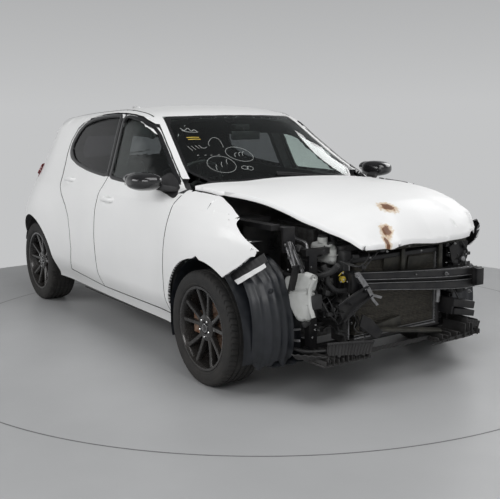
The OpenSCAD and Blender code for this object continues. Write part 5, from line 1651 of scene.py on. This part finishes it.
def hoses(m):
    """Named hoses and wires along drawn routes, then short wires with connectors at seeded places."""
    h = Batch("bay_hoses", m["hose"], "body", "black_plastic")
    h.tube([(1440, -530, 630), (1485, -540, 616), (1556, -540, 608), (1662, -536, 618), (1750, -520, 634),
            (1834, -500, 668), (1872, -492, 706)],
           15, 14, 8)
    h.tube([(1772, -496, 690), (1780, -484, 655), (1782, -472, 599), (1784, -425, 558), (1776, -353, 551),
            (1740, -320, 560)], 13, 14, 8)
    h.tube([(1480, -300, 690), (1560, -260, 700), (1660, -230, 690), (1718, -210, 640), (1716, -200, 560)],
           19, 14, 8)
    h.tube([(1470, 210, 700), (1560, 240, 730), (1650, 250, 720), (1700, 262, 668)], 19, 14, 8)
    h.tube([(1560, -600, 250), (1640, -590, 262), (1720, -560, 256), (1800, -500, 268)], 9, 10, 8)
    h.done(50)
    w = Batch("bay_wires", m["hose"], "body", "black_plastic")
    runs = [[(1790, -360, 690), (1846, -308, 673), (1850, -248, 713), (1830, -187, 744), (1790, -140, 748)],
            [(1780, -400, 700), (1840, -344, 677), (1856, -300, 700), (1852, -273, 734), (1800, -240, 752)],
            [(1700, 420, 760), (1742, 480, 740), (1760, 520, 690), (1752, 560, 640), (1730, 540, 566)],
            [(1690, 380, 770), (1730, 450, 700), (1764, 470, 640), (1748, 505, 590)],
            [(1600, 300, 760), (1690, 350, 752), (1740, 400, 700), (1738, 470, 668), (1712, 560, 660)],
            [(1700, -500, 560), (1760, -505, 520), (1800, -480, 450), (1792, -430, 400), (1760, -400, 380)],
            [(1640, -440, 600), (1700, -450, 560), (1770, -455, 505), (1800, -440, 430)],
            [(1700, -300, 540), (1770, -330, 500), (1810, -340, 440), (1800, -300, 380), (1760, -280, 340)],
            [(1740, 330, 540), (1780, 380, 500), (1800, 420, 440), (1790, 460, 390)]]
    for run, r in zip(runs, (4.5, 3.5, 5.0, 3.5, 4.0, 4.5, 3.5, 4.0, 4.0)):
        w.tube(run, r, 8, 8)
    rng = np.random.default_rng(7)
    for low, high, count in (((1500, -600, 400), (1770, -250, 740), 26),
                             ((1560, -420, 260), (1800, -240, 520), 12),
                             ((1690, 390, 400), (1768, 600, 735), 14),
                             ((1480, -560, 660), (1700, -180, 800), 10)):
        for _ in range(count):
            a, b, c, d = (rng.uniform(low, high) for _ in range(4))
            runs.append([a, a + (b - a) * 0.35, a + (c - a) * 0.5, a + (d - a) * 0.6])
            w.tube(runs[-1], rng.uniform(2.5, 6.0), 8, 6)
            for p in (runs[-1][0], runs[-1][-1]):
                size = rng.uniform((7, 9, 7), (18, 22, 20))
                turn = Matrix.Rotation(rng.uniform(-0.6, 0.6), 3,
                                       "X") @ Matrix.Rotation(rng.uniform(-0.6, 0.6), 3, "Z")
                w.block(p - size, p + size, 3, turn)
    loop = [(1846, -352, 400), (1850, -364, 374), (1852, -346, 350), (1850, -302, 336), (1848, -292, 314),
            (1850, -326, 292),
            (1848, -380, 286), (1844, -411, 307), (1838, -420, 344)]
    w.tube(loop, 3.2, 8, 8)
    for x, y, z in ((1846, -308, 673), (1846, -186, 744), (1742, 480, 740), (1752, 560, 640),
                    (1800, -480, 450), (1740, 400, 700)):
        w.block((x - 12, y - 14, z - 9), (x + 12, y + 14, z + 9), 3)
    w.done(50)


def fixings(m):
    """Bright clips and bolt heads at seeded places in the bay."""
    z = Batch("bay_fixings", m["chrome"], "body", "aluminium")
    rng = np.random.default_rng(11)
    for low, high, count in (((1600, -600, 300), (1780, -260, 720), 34),
                             ((1700, 400, 400), (1772, 600, 720), 20),
                             ((1740, -200, 690), (1770, 500, 740), 10)):
        for _ in range(count):
            nut(z, rng.uniform(low, high), "X", rng.uniform(2.2, 4.2))
    z.done(40)


def brackets(m):
    """Bent pipe, rod, brace, fork-ended arm and torn brackets around the right headlamp's place."""
    z = Batch("bright_brackets", m["zinc"], "body", "aluminium")
    z.tube([(1452, -450, 770), (1469, -450, 793), (1500, -450, 782), (1569, -450, 772), (1592, -452, 736),
            (1607, -454, 682),
            (1607, -456, 606), (1590, -456, 560)], 9, 14, 8)
    z.tube([(1531, -480, 727), (1570, -482, 689), (1623, -482, 631)], 4, 10, 6)
    plate(z, [(1580, -592, 792), (1650, -596, 800), (1700, -596, 655), (1664, -592, 650)], 3.5,
          (0.3, -1, 0.2), 8, 10, 0, 2, 6)
    plate(z, [(1628, -594, 800), (1656, -598, 800), (1756, -598, 664), (1726, -594, 655)], 3.5,
          (0.3, -1, 0.2), 8, 8, 0, 1, 5)
    for x, v in ((1606, 780), (1634, 720), (1680, 668), (1736, 672)):
        z.lathe([(0, 0), (8, 0), (8, 4), (4, 5), (0, 7)], (x, -602, v), "Y", -1, 12)
    plate(z, [(1862, -378, 652), (1864, -350, 656), (1864, -280, 572), (1860, -304, 558)], 5, (1, 0, 0), 4,
          6, 0, 1, 3)
    plate(z, [(1862, -300, 566), (1864, -282, 574), (1864, -246, 520), (1862, -262, 506)], 5, (1, 0, 0), 3,
          5, 0, 1, 3)
    plate(z, [(1860, -262, 522), (1862, -250, 532), (1862, -190, 512), (1860, -196, 500)], 5, (1, 0, 0), 3, 4)
    plate(z, [(1860, -268, 512), (1862, -254, 516), (1862, -214, 474), (1860, -226, 468)], 5, (1, 0, 0), 3, 4)
    nut(z, (1864, -362, 640), "X", 8)
    nut(z, (1864, -288, 566), "X", 6)
    outline_plate(z, [(1640, -602, 360), (1722, -604, 382), (1720, -604, 372), (1650, -602, 352),
                      (1646, -602, 312), (1712, -604, 322),
                      (1716, -604, 312), (1634, -602, 298)], 10, (0, -1, 0))
    z.lathe([(0, 0), (16, 0), (16, 10), (11, 14), (0, 14)], (1748, 522, 612), "X", 1, 20)
    z.done(35)
    d = Batch("dark_brackets", m["steel"], "body", "bare_steel")
    plate(d, [(1852, -472, 501), (1858, -282, 577), (1856, -257, 527), (1850, -436, 413)], 4, (1, 0, 0.1), 8,
          14, -10, 0)
    d.tube([(1856, -472, 501), (1864, -378, 548), (1862, -282, 577)], 6, 8, 5)
    d.tube([(1854, -436, 413), (1862, -350, 476), (1860, -257, 527)], 6, 8, 5)
    outline_plate(d, [(1842, -300, 430), (1846, -240, 396), (1846, -167, 321), (1844, -205, 289),
                      (1840, -262, 330), (1838, -316, 372)], 9,
                  (1, 0, 0))
    outline_plate(d, [(1744, 499, 754), (1748, 570, 706), (1744, 560, 640), (1740, 508, 554),
                      (1736, 470, 560), (1738, 452, 700)], 6,
                  (1, 0, 0))
    outline_plate(d, [(1760, 404, 690), (1764, 470, 720), (1764, 486, 650), (1760, 430, 600)], 5, (1, 0, 0))
    d.block((1690, -640, 560), (1700, -600, 700), 3, Matrix.Rotation(math.radians(18), 3, "Y"))
    d.block((1742, 353, 361), (1846, 528, 402), 4, Matrix.Rotation(math.radians(-12), 3, "X"),
            (1800, 440, 380))
    d.block((1742, 360, 318), (1846, 528, 352), 4, Matrix.Rotation(math.radians(-12), 3, "X"),
            (1800, 440, 336))
    d.block((1742, 348, 316), (1840, 362, 404), 4, Matrix.Rotation(math.radians(-12), 3, "X"),
            (1800, 440, 360))
    for y, v in ((-448, 470), (-400, 500), (-300, 548)):
        nut(d, (1862, y, v), "X", 6)
    for y, v in ((520, 730), (540, 680), (515, 600)):
        nut(d, (1748, y, v), "X", 7)
    d.done(35)


def front_liner(m):
    """The front right wheel's ribbed liner, bare without the bumper, with its torn edge and retainer."""
    liner = Batch("ribbed_liner_right", m["satin"], "body", "black_plastic")
    outer = [(1400, 650), (1470, 622), (1530, 560), (1566, 480), (1580, 390), (1576, 300), (1552, 215),
             (1512, 160)]
    inner = [(1470, 700), (1550, 650), (1608, 570), (1644, 480), (1664, 390), (1668, 310), (1656, 245),
             (1630, 200)]
    grid = []
    rows = smooth_path([(x, -790, z) for x, z in outer], 6), smooth_path([(x, -600, z) for x, z in inner], 6)
    n = len(rows[0])
    for i, (a, b) in enumerate(zip(*rows)):
        row = []
        for j in range(41):
            u = j / 40
            p = a.lerp(b, u)
            swell = 26 * math.sin(math.pi * u)
            rib = 5.0 * (0.5 + 0.5 * math.cos(2 * math.pi * u * 5)) ** 2
            torn = (26 * math.sin(17 * u) * math.sin(5 * u + 1) if i >= n - 3 else 0)
            row.append((p.x + swell + rib, p.y, p.z + torn + 3 * math.sin(i * 0.9)))
        grid.append(row)
    liner.sheet(grid, 3, (1, 0, 0.25))
    plate(liner, [(1574, -762, 196), (1531, -287, 196), (1700, -287, 206), (1604, -670, 158)], 3, (0, 0, 1),
          8, 24, 0, 6, 6, 0.35)
    for x, y, v in ((1622, -700, 440), (1606, -690, 560), (1640, -640, 330)):
        liner.lathe([(0, -6), (12, -6), (12, 3), (5, 6), (0, 6)], (x, y, v), "X", 1, 16)
    for sign, low_z in ((-1, 190), (1, 260)):
        grid = []
        for a in np.radians(np.linspace(-24, 204, 77)):
            z = 308 + 372 * math.sin(a)
            x = FRONT_AXLE + 372 * math.cos(a)
            if z < low_z or x < 832 or z > 900:
                continue
            grid.append([(x + 3.5 * math.cos(a) * (0.5 + 0.5 * math.cos(math.pi * j / 2.5)) ** 2,
                          sign * (482 + 354 * j / 30), z)
                         for j in range(31)])
        liner.sheet(grid, 3, (0, 0, 1))
    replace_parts(liner.done(40), "liners_and_trays")
    edge = Batch("liner_retainer", m["plastic"], "body", "black_plastic")
    plate(edge, [(1356, -792, 600), (1671, -776, 766), (1701, -776, 732), (1425, -792, 568)], 3,
          (0.3, -1, 0.2), 5, 30, 0, 9, 5)
    edge.done(40)
    white = Batch("wing_remnant", m["paint"], "body", "white_paint")
    plate(white, [(1442, -798, 599), (1685, -784, 719), (1700, -784, 703), (1476, -798, 584)], 2.5,
          (0.3, -1, 0.2), 3, 20, 0, 3, 3)
    white.done(40)


def torn_plastic(m):
    """Broken pieces of the bumper's lower grille and trays that still hang at both corners."""
    p = Batch("torn_fragments", m["plastic"], "body", "black_plastic")
    plate(p, [(1872, -553, 329), (1886, -267, 299), (1880, -291, 227), (1868, -553, 262)], 4, (1, 0, 0.1), 8,
          56, 4, 14, 6, 0.3)
    p.tube([(1876, -553, 330), (1890, -410, 318), (1888, -267, 300)], 6, 8, 5)
    plate(p, [(1840, 474, 293), (1842, 576, 266), (1838, 563, 212), (1838, 477, 236)], 4, (1, 0, 0.1), 6, 24,
          3, 5, 5, 0.3)
    plate(p, [(1866, 242, 210), (1850, 531, 224), (1822, 520, 176), (1838, 176, 182)], 4, (1, 0, 0.6), 8, 50,
          3, 12, 5, 0.3)
    plate(p, [(1792, -300, 232), (1794, 240, 226), (1770, 240, 190), (1768, -300, 196)], 4, (1, 0, 0.6), 6,
          70, 3, 18, 5, 0.25)
    plate(p, [(1700, -640, 250), (1868, -553, 262), (1860, -500, 216), (1690, -600, 214)], 4, (0, 0.3, 1), 6,
          20, 0, 5, 5, 0.3)
    for k in range(16):
        y = 236 + 22 * k
        tall = 26 + 20 * math.sin(1.9 * k) ** 2 + (34 if 9 <= k <= 13 else 0)
        p.block((1700, y, 196), (1852 + 12 * math.sin(2.3 * k), y + 5, 196 + tall), 1.5, segments=1)
    p.block((1700, 232, 196), (1846, 578, 208), 3)
    p.block((1706, 470, 200), (1844, 478, 300), 2)
    p.block((1706, 560, 200), (1838, 568, 276), 2)
    for k in range(20):
        y = -560 + 15 * k
        p.block((1700, y, 214), (1872 + 8 * math.sin(2.9 * k), y + 4, 240 + 22 * math.sin(1.3 * k) ** 2),
                1.2, segments=1)
    p.block((1690, -566, 208), (1866, -262, 220), 3)
    p.block((1300, -480, 188), (1760, -300, 200), 4)
    p.done(40)


def engine_top(m):
    """Cover, intake pipes, belt side and wiring on the engine."""
    low, high = (Vector(c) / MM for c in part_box("engine"))
    c = Batch("engine_cover", m["plastic"], "body", "black_plastic")
    x0, x1, y0, y1, z1 = low.x + 30, high.x - 40, low.y + 60, high.y - 60, high.z
    c.block((x0, y0, z1 - 18), (x1, y1, z1 + 14), 12)
    for k in range(5):
        y = y0 + 70 + k * (y1 - y0 - 140) / 4
        c.block((x0 + 30, y - 9, z1 + 10), (x1 - 30, y + 9, z1 + 20), 5)
    for k in range(4):
        y = y0 + 60 + k * (y1 - y0 - 120) / 3
        c.tube([(high.x - 20, y, z1 - 20), (high.x + 26, y, z1 - 70), (high.x + 34, y, z1 - 160),
                (high.x - 2, y, z1 - 230)], 20, 14, 8)
    c.tube([(high.x + 30, y0 + 30, z1 - 120), (high.x + 34, y1 - 30, z1 - 120)], 30, 18)
    c.block((high.x - 4, low.y + 30, low.z + 60), (high.x + 60, low.y + 170, low.z + 200), 18)
    c.block((high.x - 4, high.y - 190, low.z + 80), (high.x + 50, high.y - 60, low.z + 220), 18)
    c.tube([(high.x + 34, y0 + 30, z1 - 120), (high.x + 60, y0 - 40, z1 - 130),
            (high.x + 40, y0 - 90, z1 - 170), (1480, -300, 640)], 24, 16, 8)
    c.done(45)
    b = Batch("engine_bits", m["zinc"], "body", "cast_iron")
    for k in range(7):
        y = low.y + 40 + k * (high.y - low.y - 80) / 6
        for z in (low.z + 40, low.z + 250, z1 - 40):
            nut(b, (high.x, y, z), "X", 7)
    b.lathe([(0, 0), (62, 0), (66, 6), (66, 22), (60, 26), (20, 26), (18, 40), (0, 40)],
            (high.x - 80, low.y - 2, low.z + 190), "Y", -1, 40)
    b.lathe([(0, 0), (44, 0), (46, 6), (46, 20), (0, 22)], (high.x - 90, low.y - 2, low.z + 360), "Y", -1, 40)
    b.done(40)


# ---------------------------------------------------------------- build


def painted_panels(m):
    for side in SIDES:
        for node in (f"body_side_{side}", f"door_front_{side}", f"door_rear_{side}"):
            panel(node, m["paint"], inner=m["trim"])
        panel(f"wing_{side}", m["paint"], 0.018, inner=m["trim"], reach=30.0, cosine=0.6)
        panel(f"glass_front_{side}", m["clear"], 0.06)
        panel(f"glass_rear_{side}", m["privacy"], 0.06)
    trim_wing(bpy.data.objects["wing_right_panel"])
    wing_lip(m)
    panel("roof", m["paint"], inner=m["headliner"])
    panel("tailgate", m["paint"], inner=m["trim"])
    panel("rear_bumper", m["paint"])
    panel("windscreen", m["clear"], 0.06)
    panel("tailgate_glass", m["privacy"], 0.06)
    panel("tail_lamps", m["red"])
    bonnet(m["bonnet"])


def structure(m):
    for node, mat in [("floor_pan", "carpet"), ("bulkhead", "underbody"), ("rear_axle", "underbody"),
                      ("front_structure", "steel"), ("engine", "cast"),
                      ("exhaust_and_tank", "exhaust"), ("knuckle_right", "rust"), ("knuckle_left", "rust")]:
        keep_cad(node, m[mat])


camera()
M = materials()
stage()
painted_panels(M)
structure(M)
for SIDE in SIDES:
    side_windows(SIDE, M)
    door_furniture(SIDE, M)
    mirror(SIDE, M)
    door_cards(SIDE, M)
screen_trim(M)
roof_and_tail(M)
seats(M)
dash(M)
for END in ("front", "rear"):
    for SIDE in SIDES:
        wheel(END, SIDE, M)
crash_beam(M)
cooler(M)
tanks(M)
hoses(M)
fixings(M)
brackets(M)
front_liner(M)
torn_plastic(M)
engine_top(M)
